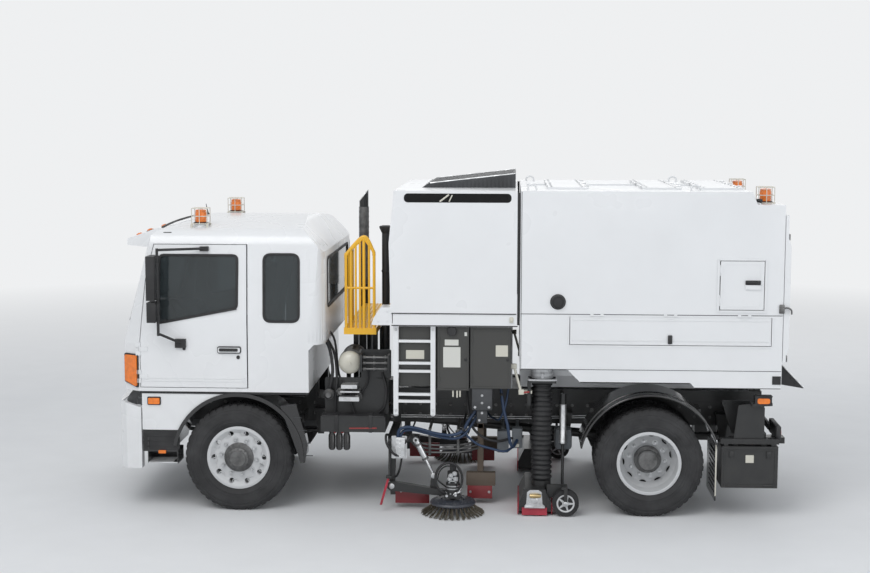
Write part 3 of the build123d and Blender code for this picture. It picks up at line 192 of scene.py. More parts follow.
def coat_paint(name, colour, roughness=0.28, dust=0.0, coat=0.35, edge=None):
    """Sprayed paint with faint orange peel and road dust that thickens lower down; below the edge height it
    turns black, painted shade under a deck.
    """
    material, tree, shader = new_material(name)
    set_inputs(shader, Coat_Weight=coat, Coat_Roughness=0.12)
    tint = patchy(tree, shader, noise(tree, 1.3, 3.0), colour, darker(colour, 0.95), roughness)
    coords = add_node(tree, "TexCoord")
    split = add_node(tree, "SeparateXYZ")
    tree.links.new(coords.outputs["Object"], split.inputs[0])
    # Painted shade: below the edge height the colour turns black, standing in for the shade under the
    # catwalk deck.
    if edge:
        under = ramp(tree, split.outputs["Z"], edge, edge - 0.004, 0.0, 1.0)
        tint = colour_mix(tree, under, tint, tuple(bpy.context.scene.sweeper_paint.black))
    if dust:
        low = ramp(tree, split.outputs["Z"], 1.7, 0.1, 0.0, dust)
        film = ramp(tree, noise(tree, 7.0, 8.0), 0.35, 0.75, 0.35, 1.0)
        tint = colour_mix(tree, arithmetic(tree, "MULTIPLY", low, film), tint, (0.30, 0.28, 0.25))
    tree.links.new(tint, shader.inputs["Base Color"])
    bump(tree, shader, noise(tree, 420.0, 2.0), 0.03, 0.0008)
    return material


def worn_metal(name, colour, roughness=0.4, grain=(1, 1, 1)):
    """Bare or plated metal with brushed grain and smudges."""
    material, tree, shader = new_material(name)
    set_inputs(shader, Metallic=1.0)
    smudge = noise(tree, 14.0, 6.0)
    tint = patchy(tree, shader, smudge, colour, darker(colour, 0.7), roughness, 0.7, 1.6)
    tree.links.new(tint, shader.inputs["Base Color"])
    bump(tree, shader, noise(tree, 160.0, 3.0, grain), 0.08, 0.0006)
    return material


def moulded(name, colour, roughness=0.55, grain=900.0, height=0.25, dust=0.0):
    """Grained plastic, rubber or cloth, a little chalky where it has weathered."""
    material, tree, shader = new_material(name)
    paler = tuple(min(1, c * 1.5 + 0.012 + dust) for c in colour)
    tint = patchy(tree, shader, noise(tree, 6.0, 7.0), colour, paler, roughness, 0.85, 1.25)
    tree.links.new(tint, shader.inputs["Base Color"])
    bump(tree, shader, noise(tree, grain, 2.0), height, 0.0005)
    return material


def tinted_glass(name, colour, clearness=0.75, roughness=0.03):
    material, tree, shader = new_material(name)
    set_inputs(shader, Transmission_Weight=clearness, IOR=1.45)
    smear = noise(tree, 3.0, 5.0, (1, 1, 0.4))
    tint = patchy(tree, shader, smear, colour, darker(colour, 0.85), roughness, 1.0, 2.2)
    tree.links.new(tint, shader.inputs["Base Color"])
    return material


def lamp_lens(name, colour):
    """Ribbed moulded lens."""
    material, tree, shader = new_material(name)
    set_inputs(shader, Coat_Weight=0.6, Coat_Roughness=0.05)
    tint = patchy(tree, shader, noise(tree, 18.0, 3.0), colour, darker(colour, 0.72), 0.18)
    tree.links.new(tint, shader.inputs["Base Color"])
    wave = add_node(tree, "TexWave", Scale=60.0)
    coords = add_node(tree, "TexCoord")
    tree.links.new(coords.outputs["Object"], wave.inputs["Vector"])
    bump(tree, shader, wave.outputs["Fac"], 0.35, 0.002)
    return material


finishes = {}


def make_finishes():
    paint = bpy.context.scene.sweeper_paint
    white, black = tuple(paint.white), tuple(paint.black)
    for name, *look in (
        ("white", white, 0.26, 0.16),
        ("body_white", white, 0.30, 0.12),
        # The last value is the edge height: the yellow below 1.656 m is painted black as painted shade under
        # the deck.
        ("yellow", tuple(paint.yellow), 0.38, 0.06, 0.35, 1.656),
        ("black", black, 0.42, 0.08, 0.15),
        ("gear_black", black, 0.38, 0.06, 0.2),
        ("gloss_black", (0.008, 0.008, 0.009), 0.16, 0.06, 0.6),
        ("silver", tuple(paint.silver), 0.36, 0.16, 0.2),
        ("cabinet", (0.040, 0.040, 0.037), 0.40, 0.06),
        ("red", tuple(paint.red), 0.45, 0.12, 0.1),
        ("engine", (0.07, 0.075, 0.08), 0.55, 0.15, 0.0),
        ("cream", (0.62, 0.60, 0.52), 0.35, 0.06),
        ("plate", (0.66, 0.66, 0.62), 0.4),
        ("blue_black", (0.018, 0.024, 0.040), 0.4, 0.12, 0.2),
        ("maroon", (0.21, 0.012, 0.018), 0.45, 0.08, 0.15),
        ("brown", (0.11, 0.082, 0.060), 0.55, 0.12, 0.0),
    ):
        finishes[name] = coat_paint(name + "_paint", *look)
    for name, *look in (
        ("steel", (0.62, 0.63, 0.64), 0.34),
        ("chrome", (0.78, 0.79, 0.80), 0.12),
        ("cast", (0.20, 0.20, 0.20), 0.55),
        ("aluminium", (0.72, 0.73, 0.74), 0.38, (1, 1, 12)),
        ("brass", (0.55, 0.42, 0.22), 0.35),
        ("mirror", (0.80, 0.82, 0.84), 0.03),
    ):
        finishes[name] = worn_metal(name + "_metal", *look)
    for name, *look in (
        ("tyre", (0.018, 0.018, 0.019), 0.78, 500.0, 0.3, 0.014),
        ("rubber", (0.010, 0.010, 0.011), 0.6, 700.0),
        ("plastic", (0.014, 0.014, 0.015), 0.5, 900.0, 0.3),
        ("grey_plastic", (0.11, 0.12, 0.13), 0.6),
        ("dark_grey", (0.035, 0.037, 0.040), 0.55),
        ("cloth", (0.05, 0.055, 0.065), 0.9, 300.0, 0.5),
        ("bristle", (0.075, 0.064, 0.045), 0.6, 300.0, 0.2),
        ("blue_hose", (0.008, 0.024, 0.060), 0.45, 500.0, 0.2),
        # Near-black, darker than any paint: painted shade for the wheel hand holes and the back of the air
        # slot.
        ("void", (0.004, 0.004, 0.0045), 0.85, 300.0, 0.2),
        ("red_rubber", (0.30, 0.018, 0.035), 0.55, 400.0),
    ):
        finishes[name] = moulded(name + "_surface", *look)
    finishes["glass"] = tinted_glass("tinted_glass", (0.16, 0.19, 0.20), 0.8)
    finishes["clear"] = tinted_glass("clear_lens", (0.85, 0.87, 0.88), 0.7, 0.02)
    finishes["amber"] = lamp_lens("amber_lens", tuple(paint.amber))
    finishes["red_lens"] = lamp_lens("red_lens", (0.55, 0.01, 0.01))


# Shapes. Each one adds its faces to a mesh; y is the distance from the centreline.


def box(bm, low, high, radius=0.0):
    """A box between two corners, with its edges rounded."""
    verts = bmesh.ops.create_cube(bm, size=1.0)["verts"]
    for v in verts:
        v.co = Vector([a + (c + 0.5) * (b - a) for a, b, c in zip(low, high, v.co)])
    if radius:
        edges = list(dict.fromkeys(e for v in verts for e in v.link_edges))
        bmesh.ops.bevel(bm, geom=edges, offset=radius, segments=2, profile=0.5, affect="EDGES")


def basis(direction):
    z = Vector(direction).normalized()
    x = z.orthogonal().normalized()
    return x, z.cross(x), z


def ring_points(centre, direction, radius, count, start=0.0):
    """Points on a circle round a line through the centre."""
    x, y, _ = basis(direction)
    turns = [start + 2 * math.pi * i / count for i in range(count)]
    return [Vector(centre) + radius * (x * math.cos(t) + y * math.sin(t)) for t in turns]


def join_rings(bm, first, second):
    for i in range(len(first)):
        k = (i + 1) % len(first)
        bm.faces.new((first[i], first[k], second[k], second[i]))


def sections(bm, rows, closed=False):
    """Joins a row of closed sections that have the same number of points, and shuts the ends."""
    rings = [[bm.verts.new(Vector(p)) for p in row] for row in rows]
    for a, b in zip(rings, rings[1:]):
        join_rings(bm, a, b)
    if closed:
        join_rings(bm, rings[-1], rings[0])
    else:
        bm.faces.new(rings[0])
        bm.faces.new(rings[-1])


def turned(bm, centre, direction, profile, count=24, closed=False):
    """Turns (radius, height) pairs round the line from centre along direction."""
    _, _, z = basis(direction)
    rings = []
    for radius, height in profile:
        place = Vector(centre) + z * height
        points = ring_points(place, z, radius, count) if radius > 1e-6 else [place]
        rings.append([bm.verts.new(p) for p in points])
    for a, b in zip(rings, rings[1:] + (rings[:1] if closed else [])):
        if len(a) > 1 and len(b) > 1:
            join_rings(bm, a, b)
        elif len(a) != len(b):
            tip, edge = (a[0], b) if len(a) == 1 else (b[0], a)
            for i in range(count):
                bm.faces.new((tip, edge[i], edge[(i + 1) % count]))


def rod(bm, start, end, radius, count=12):
    """A straight bar with its ends broken."""
    length = (Vector(end) - Vector(start)).length
    r = radius * 0.15
    profile = [(0, 0), (radius - r, 0), (radius, r), (radius, length - r), (radius - r, length), (0, length)]
    turned(bm, start, Vector(end) - Vector(start), profile, count)


def knob(bm, centre, direction, radius, height, count=20):
    """A low round button or cap with a broken edge."""
    profile = [(radius, -0.002), (radius, height * 0.7), (radius * 0.8, height), (0, height)]
    turned(bm, centre, direction, profile, count)


def band(bm, centre, direction, radius, width, rise=0.005, count=32):
    """A ring that is clamped round a pipe."""
    low, high = radius - 0.002, radius + rise
    profile = [(low, 0), (high, 0.001), (high, width - 0.001), (low, width)]
    turned(bm, centre, direction, profile, count, True)


def smooth(points, steps=7):
    """Points along a smooth line through the given ones."""
    pts = [Vector(p) for p in points]
    pts = [pts[0] * 2 - pts[1], *pts, pts[-1] * 2 - pts[-2]]
    out = []
    for a, b, c, d in zip(pts, pts[1:], pts[2:], pts[3:]):
        for k in range(steps):
            t = k / steps
            square = (2 * a - 5 * b + 4 * c - d) * t * t
            out.append(0.5 * (2 * b + (c - a) * t + square + (3 * b - a - 3 * c + d) * t**3))
    return [*out, pts[-2]]


def pipe(bm, radius, points, count=10, steps=7):
    """A tube that follows a smooth line, with its section carried along without twist."""
    points = smooth(points, steps) if steps > 1 else [Vector(p) for p in points]
    last = len(points) - 1
    x = (points[1] - points[0]).orthogonal()
    rows = []
    for i, p in enumerate(points):
        t = (points[min(i + 1, last)] - points[max(i - 1, 0)]).normalized()
        x = (x - t * x.dot(t)).normalized()
        y = t.cross(x)
        turns = [2 * math.pi * k / count for k in range(count)]
        rows.append([p + radius * (x * math.cos(a) + y * math.sin(a)) for a in turns])
    sections(bm, rows)


def pipes(table):
    """Rows of pipes, each from its radius and the points that follow."""
    return [(pipe, radius, run) for radius, *run in table]


def bolts(bm, places, direction, across, height=None):
    """Hexagon heads on their washers."""
    height = height or across * 0.6
    x, y, z = basis(direction)
    r = across / math.sqrt(3)
    for place in places:
        turned(bm, place, z, [(across * 0.8, -0.001), (across * 0.8, height * 0.2), (0, height * 0.2)], 12)
        turned(bm, place, z, [(r, 0), (r, height * 0.85), (r * 0.82, height), (0, height)], 6)


def rounded(points, radius, steps=4):
    """Rounds the corners of a flat outline."""
    pts = [Vector(p) for p in points]
    out = []
    for i, p in enumerate(pts):
        before, after = pts[i - 1] - p, pts[(i + 1) % len(pts)] - p
        half = before.angle(after) / 2
        reach = min(radius / math.tan(half), before.length * 0.48, after.length * 0.48)
        start = p + before.normalized() * reach
        end = p + after.normalized() * reach
        for k in range(steps + 1):
            t = k / steps
            out.append((1 - t) ** 2 * start + 2 * t * (1 - t) * p + t * t * end)
    return out


def prism(bm, outline, along):
    """Closes an outline of points and carries it along a vector."""
    points = [Vector(p) for p in outline]
    sections(bm, [points, [p + Vector(along) for p in points]])


def slab(bm, points, y0, y1, radius=0.0):
    """A plate with a side view outline, between two distances from the centreline."""
    outline = [(x, y0, z) for x, z in points]
    prism(bm, rounded(outline, radius) if radius else outline, (0, y1 - y0, 0))


def plate(bm, x0, x1, z0, z1, y0, y1, radius=0.004):
    """An upright plate with rounded corners that faces the side."""
    slab(bm, [(x0, z0), (x1, z0), (x1, z1), (x0, z1)], y0, y1, radius)


def strip(bm, outline, normal, width, height):
    """A raised band that runs round a closed outline, inside it by its width."""
    normal = Vector(normal).normalized()
    pts = [Vector(p) for p in outline]
    middle = sum(pts, Vector()) / len(pts)
    rows = []
    for i, p in enumerate(pts):
        along = (pts[(i + 1) % len(pts)] - pts[i - 1]).normalized()
        inward = normal.cross(along).normalized()
        if inward.dot(middle - p) < 0:
            inward = -inward
        rows.append([p, p + normal * height, p + inward * width + normal * height, p + inward * width])
    sections(bm, rows, True)


def frame_strip(bm, x0, x1, z0, z1, y, width, height, radius=0.02):
    """A raised band round an upright rectangle that faces the side."""
    corners = [(x0, y, z0), (x1, y, z0), (x1, y, z1), (x0, y, z1)]
    strip(bm, rounded(corners, radius), OUT, width, height)


def spread(first, last, count):
    return [first + (last - first) * i / (count - 1) for i in range(count)]


def each(shape, places, *values):
    """Rows that put the same shape at several places."""
    return [(shape, place, *values) for place in places]


def piece(name, finish, body, rows, sides=BOTH, sharp=40.0):
    """Makes a piece from its rows of shapes on each side. An @ in its body stands for the side."""
    made = []
    for tag, side in sides:
        bm = bmesh.new()
        for shape, *values in rows:
            shape(bm, *values)
        for v in bm.verts:
            v.co.y *= side
        bmesh.ops.remove_doubles(bm, verts=bm.verts, dist=1e-5)
        bmesh.ops.recalc_face_normals(bm, faces=bm.faces)
        mesh = bpy.data.meshes.new(name + tag)
        bm.to_mesh(mesh)
        bm.free()
        mesh.materials.append(finishes[finish])
        mesh.shade_smooth()
        mesh.set_sharp_from_angle(angle=math.radians(sharp))
        part = bpy.data.objects.new(name + tag, mesh)
        bpy.context.scene.collection.objects.link(part)
        if body:
            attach(part, body.replace("@", tag[1:]))
        made.append(part)
    return made


# Places of the axles and of the truck's main faces, in metres

front_axle_x = -2.045
rear_axle_x = 1.805
hub_z = 0.506
body_y = 1.245
screen_foot_z = 1.59
rail_y = 0.430


def cab_side(z):
    """Half the cab's width at a height."""
    return 1.2 - 0.04 * max(0.0, z - 1.82) / 0.69


def cab_nose(y, z):
    """How far forward the cab's front reaches, at a distance from the centreline and a height."""
    return -3.22 + 0.095 * (y / 1.11) ** 2 + 0.26 * max(0.0, z - screen_foot_z)


def bumper_nose(y, z=0.0):
    """How far forward the bumper reaches, at a distance from the centreline and any height."""
    return -3.25 + 0.09 * (y / 1.15) ** 2


def crosswise(form, y0, y1, count, section):
    """Sections from side to side over a curved front. The section gives (forward, height) pairs."""
    middle = sum(z for _, z in section) / len(section)
    return [[(form(y, middle) + dx, y, z) for dx, z in section] for y in spread(y0, y1, count)]


# Operators


class SWEEPER_OT_cad_finishes(bpy.types.Operator):
    """Gives each solid of the frame its finish"""

    bl_idname = "sweeper.cad_finishes"
    bl_label = "Finishes of the solids"

    def execute(self, context):
        make_finishes()
        for finish, names in {
            "white": "cab_roof cab_front cab_walls cab_floor bumper door_@",
            "body_white": "canopy hopper_body tailgate locker_flap_@ hatch_@ ladders",
            "yellow": "catwalk",
            "black": "chassis_frame front_axle rear_axle leaf_springs subframe stacks toolboxes hitch",
            "gear_black": "tanks_and_boxes gear_carrier knuckle_@ brush_arm_@ nozzle_@",
            "engine": "engine auxiliary_engine",
            "cabinet": "cabinets",
            "gloss_black": "wheel_arches",
            "silver": "rim_front_@ rims_rear_@",
            "tyre": "tyre_front_@ tyres_rear_@",
            "plastic": "mirror_@",
            "grey_plastic": "cab_interior",
            "glass": "cab_glass door_glass_@",
            "steel": "lift_barrel_@",
            "bristle": "brush_@",
            "chrome": "lift_rod_@",
            "rubber": "castor_@ hose_@",
        }.items():
            for name in names.split():
                for side in ("left", "right"):
                    mesh = nodes[name.replace("@", side)].data
                    mesh.materials.clear()
                    mesh.materials.append(finishes[finish])
        return {"FINISHED"}


# Tyres and wheels

sidewall = (
    (0.2876, 0.102), (0.301, 0.102), (0.317, 0.116), (0.330, 0.126), (0.339, 0.1290),
    (0.342, 0.1325), (0.348, 0.1335), (0.351, 0.1305), (0.369, 0.1325), (0.371, 0.1350),
    (0.376, 0.1352), (0.378, 0.1335), (0.410, 0.1380), (0.427, 0.1365), (0.429, 0.1385),
    (0.436, 0.1380), (0.438, 0.1345), (0.458, 0.1295), (0.461, 0.1320), (0.467, 0.1300),
    (0.470, 0.1262),
)
shoulder = ((0.478, 0.124), (0.4835, 0.1205), (0.501, 0.103))
tread_rows = ((-0.097, -0.062), (-0.052, -0.024), (-0.014, 0.014), (0.024, 0.052), (0.062, 0.097))
tread_radius = 0.506
# Outer faces of the wheel discs, and the radius of their circle of nuts
front_disc_y = 1.1405
rear_disc_y = 0.948
nut_circle = 0.1675
rim_lip = ((0.270, 0.018), (0.276, 0.024), (0.292, 0.025), (0.2995, 0.020), (0.2995, 0.008))


def tyre(bm, centre_x, y_mid, blocks, groove):
    """A tyre with ringed sidewalls, shoulder lugs, and five rows of blocks that alternate."""
    base = tread_radius - groove
    half = [(r, y, "") for r, y in sidewall] + [(r, y, "lug") for r, y in shoulder]
    profile = [(r, -y, kind) for r, y, kind in half]
    for row, (low, high) in enumerate(tread_rows):
        kind = "even" if row % 2 == 0 else "odd"
        if row:
            profile.append((base, low - 0.001, ""))
        profile += [(tread_radius, low, kind), (tread_radius, high, kind)]
        if row < len(tread_rows) - 1:
            profile.append((base, high + 0.001, ""))
    profile += reversed(half)
    rows = []
    cuts = ((0.0, "even"), (0.10, "even"), (0.12, ""), (0.50, "odd"), (0.60, "odd"), (0.62, ""))
    for i in range(blocks):
        for share, cut in cuts:
            turn = 2 * math.pi * (i + share) / blocks
            column = []
            for r, y, kind in profile:
                if kind == "lug" and cut == "even":
                    r, y = r - 0.004, y * 0.975
                elif kind and kind == cut:
                    r = base + 0.001
                column.append((centre_x + r * math.cos(turn), y_mid + y, hub_z + r * math.sin(turn)))
            rows.append(column)
    sections(bm, rows, True)


def hub_circle(x, y, radius, count, start=0.0):
    return ring_points((x, y, hub_z), OUT, radius, count, start)


class SWEEPER_OT_tyres(bpy.types.Operator):
    """The six tyres, with their tread and sidewall rings"""

    bl_idname = "sweeper.tyres"
    bl_label = "Tyres"

    def execute(self, context):
        tread = context.scene.sweeper_tyres
        size = (tread.blocks, tread.groove)
        front = piece("front_tyre", "tyre", "front_wheel_@", [(tyre, front_axle_x, 1.062, *size)])
        twins = [(tyre, rear_axle_x, y, *size) for y in (1.082, 0.770)]
        rear = piece("rear_tyres", "tyre", "rear_wheels_@", twins)
        for side, first, second in zip(("left", "right"), front, rear):
            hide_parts("tyre_front_" + side)
            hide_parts("tyres_rear_" + side)
        return {"FINISHED"}


class SWEEPER_OT_wheels(bpy.types.Operator):
    """Hubs, wheel nuts, hand holes and valves"""

    bl_idname = "sweeper.wheels"
    bl_label = "Wheel fittings"

    def execute(self, context):
        body = "front_wheel_@"
        x, face = front_axle_x, front_disc_y
        hub = [
            (0.140, -0.004), (0.140, 0.010), (0.104, 0.040), (0.098, 0.062), (0.078, 0.074), (0.074, 0.084),
            (0, 0.086),
        ]
        rows = [(turned, (x, face, hub_z), OUT, hub, 40)]
        rows.append((bolts, hub_circle(x, face + 0.066, 0.086, 8), OUT, 0.014))
        piece("front_hub", "cast", body, rows)
        places = hub_circle(x, face - 0.002, nut_circle, 10, 0.3)
        rows = [(bolts, places, OUT, 0.032, 0.026)]
        rows += [(rod, p + Vector((0, 0.02, 0)), p + Vector((0, 0.04, 0)), 0.010) for p in places]
        rows.append((rod, (x + 0.2, face, 0.446), (x + 0.235, face + 0.03, 0.436), 0.006))
        piece("front_nuts", "steel", body, rows)
        hole = [(0.0235, 0.0), (0.0245, 0.004), (0.029, 0.003), (0.031, 0.0)]
        rows = [(turned, p, OUT, hole, 20) for p in hub_circle(x, face - 0.001, 0.238, 10)]
        rows.append((turned, (x, 1.150, hub_z), OUT, rim_lip, 72))
        piece("front_disc", "silver", body, rows)

        body = "rear_wheels_@"
        x, face = rear_axle_x, rear_disc_y
        hub = [(0.128, -0.030), (0.128, 0.012), (0.100, 0.030), (0.098, 0.066), (0.084, 0.080), (0, 0.084)]
        rows = [(turned, (x, 1.012, hub_z), OUT, hub, 40)]
        rows.append((bolts, hub_circle(x, 1.022, 0.112, 10), OUT, 0.018, 0.014))
        piece("rear_hub", "cast", body, rows)
        places = hub_circle(x, face, nut_circle, 10, 0.3)
        rows = [(bolts, places, OUT, 0.032, 0.030)]
        rows += [(rod, p + Vector((0, 0.027, 0)), p + Vector((0, 0.048, 0)), 0.010) for p in places]
        piece("rear_nuts", "steel", body, rows)
        # Flat near-black ovals on the disc face: painted shade standing in for the hand holes.
        rows = []
        for p in hub_circle(x, face, 0.232, 10):
            out = (p - Vector((x, face, hub_z))).normalized()
            along = out.cross(Vector(OUT))
            turns = [2 * math.pi * k / 16 for k in range(16)]
            oval = [p + along * 0.034 * math.cos(a) + out * 0.020 * math.sin(a) for a in turns]
            rows.append((prism, oval, (0, 0.006, 0)))
        piece("rear_hand_hole_shade", "void", body, rows)
        piece("rear_flange", "silver", body, [(turned, (x, 1.170, hub_z), OUT, rim_lip, 72)])
        return {"FINISHED"}


# Cab

door_window = [(-2.792, 1.770), (-2.028, 1.920), (-2.021, 2.434), (-2.779, 2.434)]
rear_window = [(-1.797, 1.797), (-1.447, 1.797), (-1.447, 2.446), (-1.797, 2.446)]


def skin_strip(bm, points, radius, width, height):
    """A band round an opening in the cab's side."""
    outline = [(x, cab_side(z), z) for x, z in points]
    strip(bm, rounded(outline, radius, 6), OUT, width, height)


def end_window(low_half, high_half, z0, z1, radius):
    """A window outline with rounded corners in the cab's front or back, as (y, z) pairs."""
    corners = [(0, -low_half, z0), (0, low_half, z0), (0, high_half, z1), (0, -high_half, z1)]
    points = rounded(corners, radius, 6)
    dense = []
    for a, b in zip(points, points[1:] + points[:1]):
        count = max(1, int((b - a).length / 0.12))
        dense += [a.lerp(b, k / count) for k in range(count)]
    return [(p.y, p.z) for p in dense]


class SWEEPER_OT_cab_seals(bpy.types.Operator):
    """Rubber seals round the windows and the door"""

    bl_idname = "sweeper.cab_seals"
    bl_label = "Window seals"

    def execute(self, context):
        piece("rear_side_seal", "rubber", TRUCK, [(skin_strip, rear_window, 0.08, 0.022, 0.006)])
        y = cab_side(1.85)
        section = ((0, 0), (0.012, 0.004), (0.009, 0.022), (0, 0.024))
        ledge = [[(x, y + a, z + b) for a, b in section] for x, z in ((-2.77, 1.775), (-2.04, 1.918))]
        rows = [(skin_strip, door_window, 0.06, 0.024, 0.006), (sections, ledge)]
        piece("door_seal", "rubber", "door_@", rows)
        screen = [(cab_nose(y, z) + 0.004, y, z) for y, z in end_window(1.03, 0.99, 1.765, 2.452, 0.06)]
        piece("screen_seal", "rubber", TRUCK, [(strip, screen, (-1, 0, 0.25), 0.055, 0.010)], MIDDLE)
        window = [(-1.232, y, z) for y, z in end_window(0.88, 0.88, 1.90, 2.39, 0.07)]
        piece("back_window_seal", "rubber", TRUCK, [(strip, window, AFT, 0.026, 0.010)], MIDDLE)
        return {"FINISHED"}


def corner_plate(bm, grow, lift, depth):
    """A plate on the slanted corner between the cab's front and its side."""
    low, high = Vector((-3.112, 1.118, 0)), Vector((-2.982, 1.196, 0))
    along = (high - low).normalized()
    out = Vector((-along.y, along.x, 0))
    a = low - along * grow + out * lift
    b = high + along * grow + out * lift
    z0, z1 = 1.18 - grow, 1.478 + grow
    outline = [(a.x, a.y, z0 + 0.05), (b.x, b.y, z0), (b.x, b.y, z1), (a.x, a.y, z1)]
    prism(bm, rounded(outline, 0.02), out * depth)


def corner_rib(bm, turn):
    """An upright rib on the cab's round rear corner."""
    rows = []
    for z, rise in ((1.60, -0.004), (1.63, 0.005), (2.38, 0.005), (2.42, -0.004)):
        shrink = (1.2 - cab_side(z)) * math.cos(turn)
        section = []
        for lean, r in ((-2.6, -0.004), (-1.8, rise), (1.8, rise), (2.6, -0.004)):
            a = turn + math.radians(lean)
            section.append((-1.38 + (0.15 + r) * math.sin(a), 1.05 + (0.15 + r) * math.cos(a) - shrink, z))
        rows.append(section)
    sections(bm, rows)


class SWEEPER_OT_cab_side_fittings(bpy.types.Operator):
    """Door handles, locks, corner lamps, side lamps and the ribs of the rear corners"""

    bl_idname = "sweeper.cab_side_fittings"
    bl_label = "Cab side fittings"

    def execute(self, context):
        lock = [(0.017, 0), (0.017, 0.006), (0.011, 0.008), (0.011, 0.005), (0, 0.005)]
        rows = [
            (plate, -2.226, -2.002, 1.505, 1.572, 1.198, 1.210, 0.02),
            (plate, -2.205, -2.030, 1.528, 1.556, 1.210, 1.234, 0.01),
            (turned, (-2.030, 1.2, 1.470), OUT, lock, 20),
        ]
        piece("door_handle", "plastic", "door_@", rows)
        piece("corner_lamp_base", "plastic", TRUCK, [(corner_plate, 0.012, 0.0, 0.012)])
        piece("corner_lamp", "amber", TRUCK, [(corner_plate, 0.0, 0.012, 0.010)])
        rows = [(plate, -2.898, -2.770, 1.008, 1.086, 1.19, 1.20, 0.012)]
        piece("side_lamp_base", "plastic", TRUCK, rows)
        piece("side_lamp", "amber", TRUCK, [(plate, -2.888, -2.780, 1.018, 1.076, 1.198, 1.212, 0.01)])
        rows = [(corner_rib, math.radians(6 + 13 * i)) for i in range(7)]
        piece("corner_ribs", "white", TRUCK, rows)
        rows = [(plate, -2.94, -1.965, z, z + 0.010, 1.198, 1.204) for z in (1.235, 1.262)]
        piece("door_crease", "white", "door_@", rows)
        piece("cab_sill", "rubber", TRUCK, [(plate, -2.965, -1.375, 1.118, 1.138, 1.12, 1.198, 0.006)])
        return {"FINISHED"}


def beacon_cage(bm, x, y, low, high):
    """A wire cage on four short feet."""
    half = 0.073
    corners = [(x + half, y + half), (x - half, y + half), (x - half, y - half), (x + half, y - half)]
    for a, b in zip(corners, corners[1:] + corners[:1]):
        rod(bm, (*a, low), (*a, high), 0.004, 8)
        turned(bm, (*a, low - 0.05), UP, [(0, 0), (0.012, 0), (0.012, 0.052), (0, 0.052)], 10)
        for z in (low + 0.004, (low + high) / 2, high):
            rod(bm, (*a, z), (*b, z), 0.004, 8)
    rod(bm, (x - half, y, high), (x + half, y, high), 0.004, 8)
    for end in (-half, half):
        rod(bm, (x, y + end, low), (x, y + end, high), 0.004, 8)


class SWEEPER_OT_cab_roof_fittings(bpy.types.Operator):
    """Visor edge, roof strip, beacons with their cages, marker lamps and a short aerial"""

    bl_idname = "sweeper.cab_roof_fittings"
    bl_label = "Cab roof fittings"

    def execute(self, context):
        rows = []
        for y in spread(-1.02, 1.02, 25):
            bend = (y / 1.02) ** 2
            x, z = -2.792 + 0.02 * bend, 2.684 - 0.018 * bend
            edge = ((-0.012, -0.02), (-0.012, 0.006), (0.010, 0.012), (0.010, -0.02))
            rows.append([(x + dx, y, z + dz) for dx, dz in edge])
        piece("visor_strip", "rubber", TRUCK, [(sections, rows)], MIDDLE)
        dome = [
            (0.0515, 0), (0.0535, 0.012), (0.0535, 0.088), (0.050, 0.100), (0.0515, 0.104), (0.049, 0.118),
            (0.030, 0.122), (0, 0.123),
        ]
        foot = [(0.052, 0), (0.068, 0.002), (0.068, 0.014), (0.058, 0.020), (0.053, 0.020)]
        for place, x, y, base, body in (
            ("cab", -2.423, 0.907, 2.712, TRUCK),
            ("hopper", 2.860, 0.888, 2.932, "hopper"),
        ):
            piece(place + "_beacon", "amber", body, [(turned, (x, y, base), UP, dome, 32)])
            piece(place + "_beacon_base", "plastic", body, [(turned, (x, y, base - 0.016), UP, foot, 32)])
            piece(place + "_beacon_cage", "cream", body, [(beacon_cage, x, y, base - 0.014, base + 0.134)])
        rim = [(0.046, -0.02), (0.046, 0.008), (0.038, 0.014), (0.034, 0.014)]
        lens = [(0.034, 0.008), (0.034, 0.016), (0.022, 0.028), (0, 0.031)]
        places = [(-3.0 - 0.06 * (1 - (y / 1.075) ** 2), y, 2.575) for y in (0.3, 0.86)]
        lean = (-0.35, 0, 0.94)
        piece("marker_bases", "plastic", TRUCK, each(turned, places, lean, rim))
        piece("marker_lenses", "amber", TRUCK, each(turned, places, lean, lens))
        aerial = [(0.022, 0), (0.022, 0.03), (0.008, 0.045), (0.005, 0.10), (0.003, 0.14), (0, 0.142)]
        rows = [(turned, (-2.66, 0.62, 2.66), (-0.2, 0, 1), aerial, 16)]
        piece("aerial", "dark_grey", TRUCK, rows, RIGHT)
        rows = [
            (rod, (-2.665, 1.09, 2.622), (-2.735, 1.09, 2.615), 0.012),
            (box, (-2.74, 1.075, 2.585), (-2.66, 1.105, 2.632), 0.006),
        ]
        piece("roof_catch", "dark_grey", TRUCK, rows, LEFT)
        return {"FINISHED"}


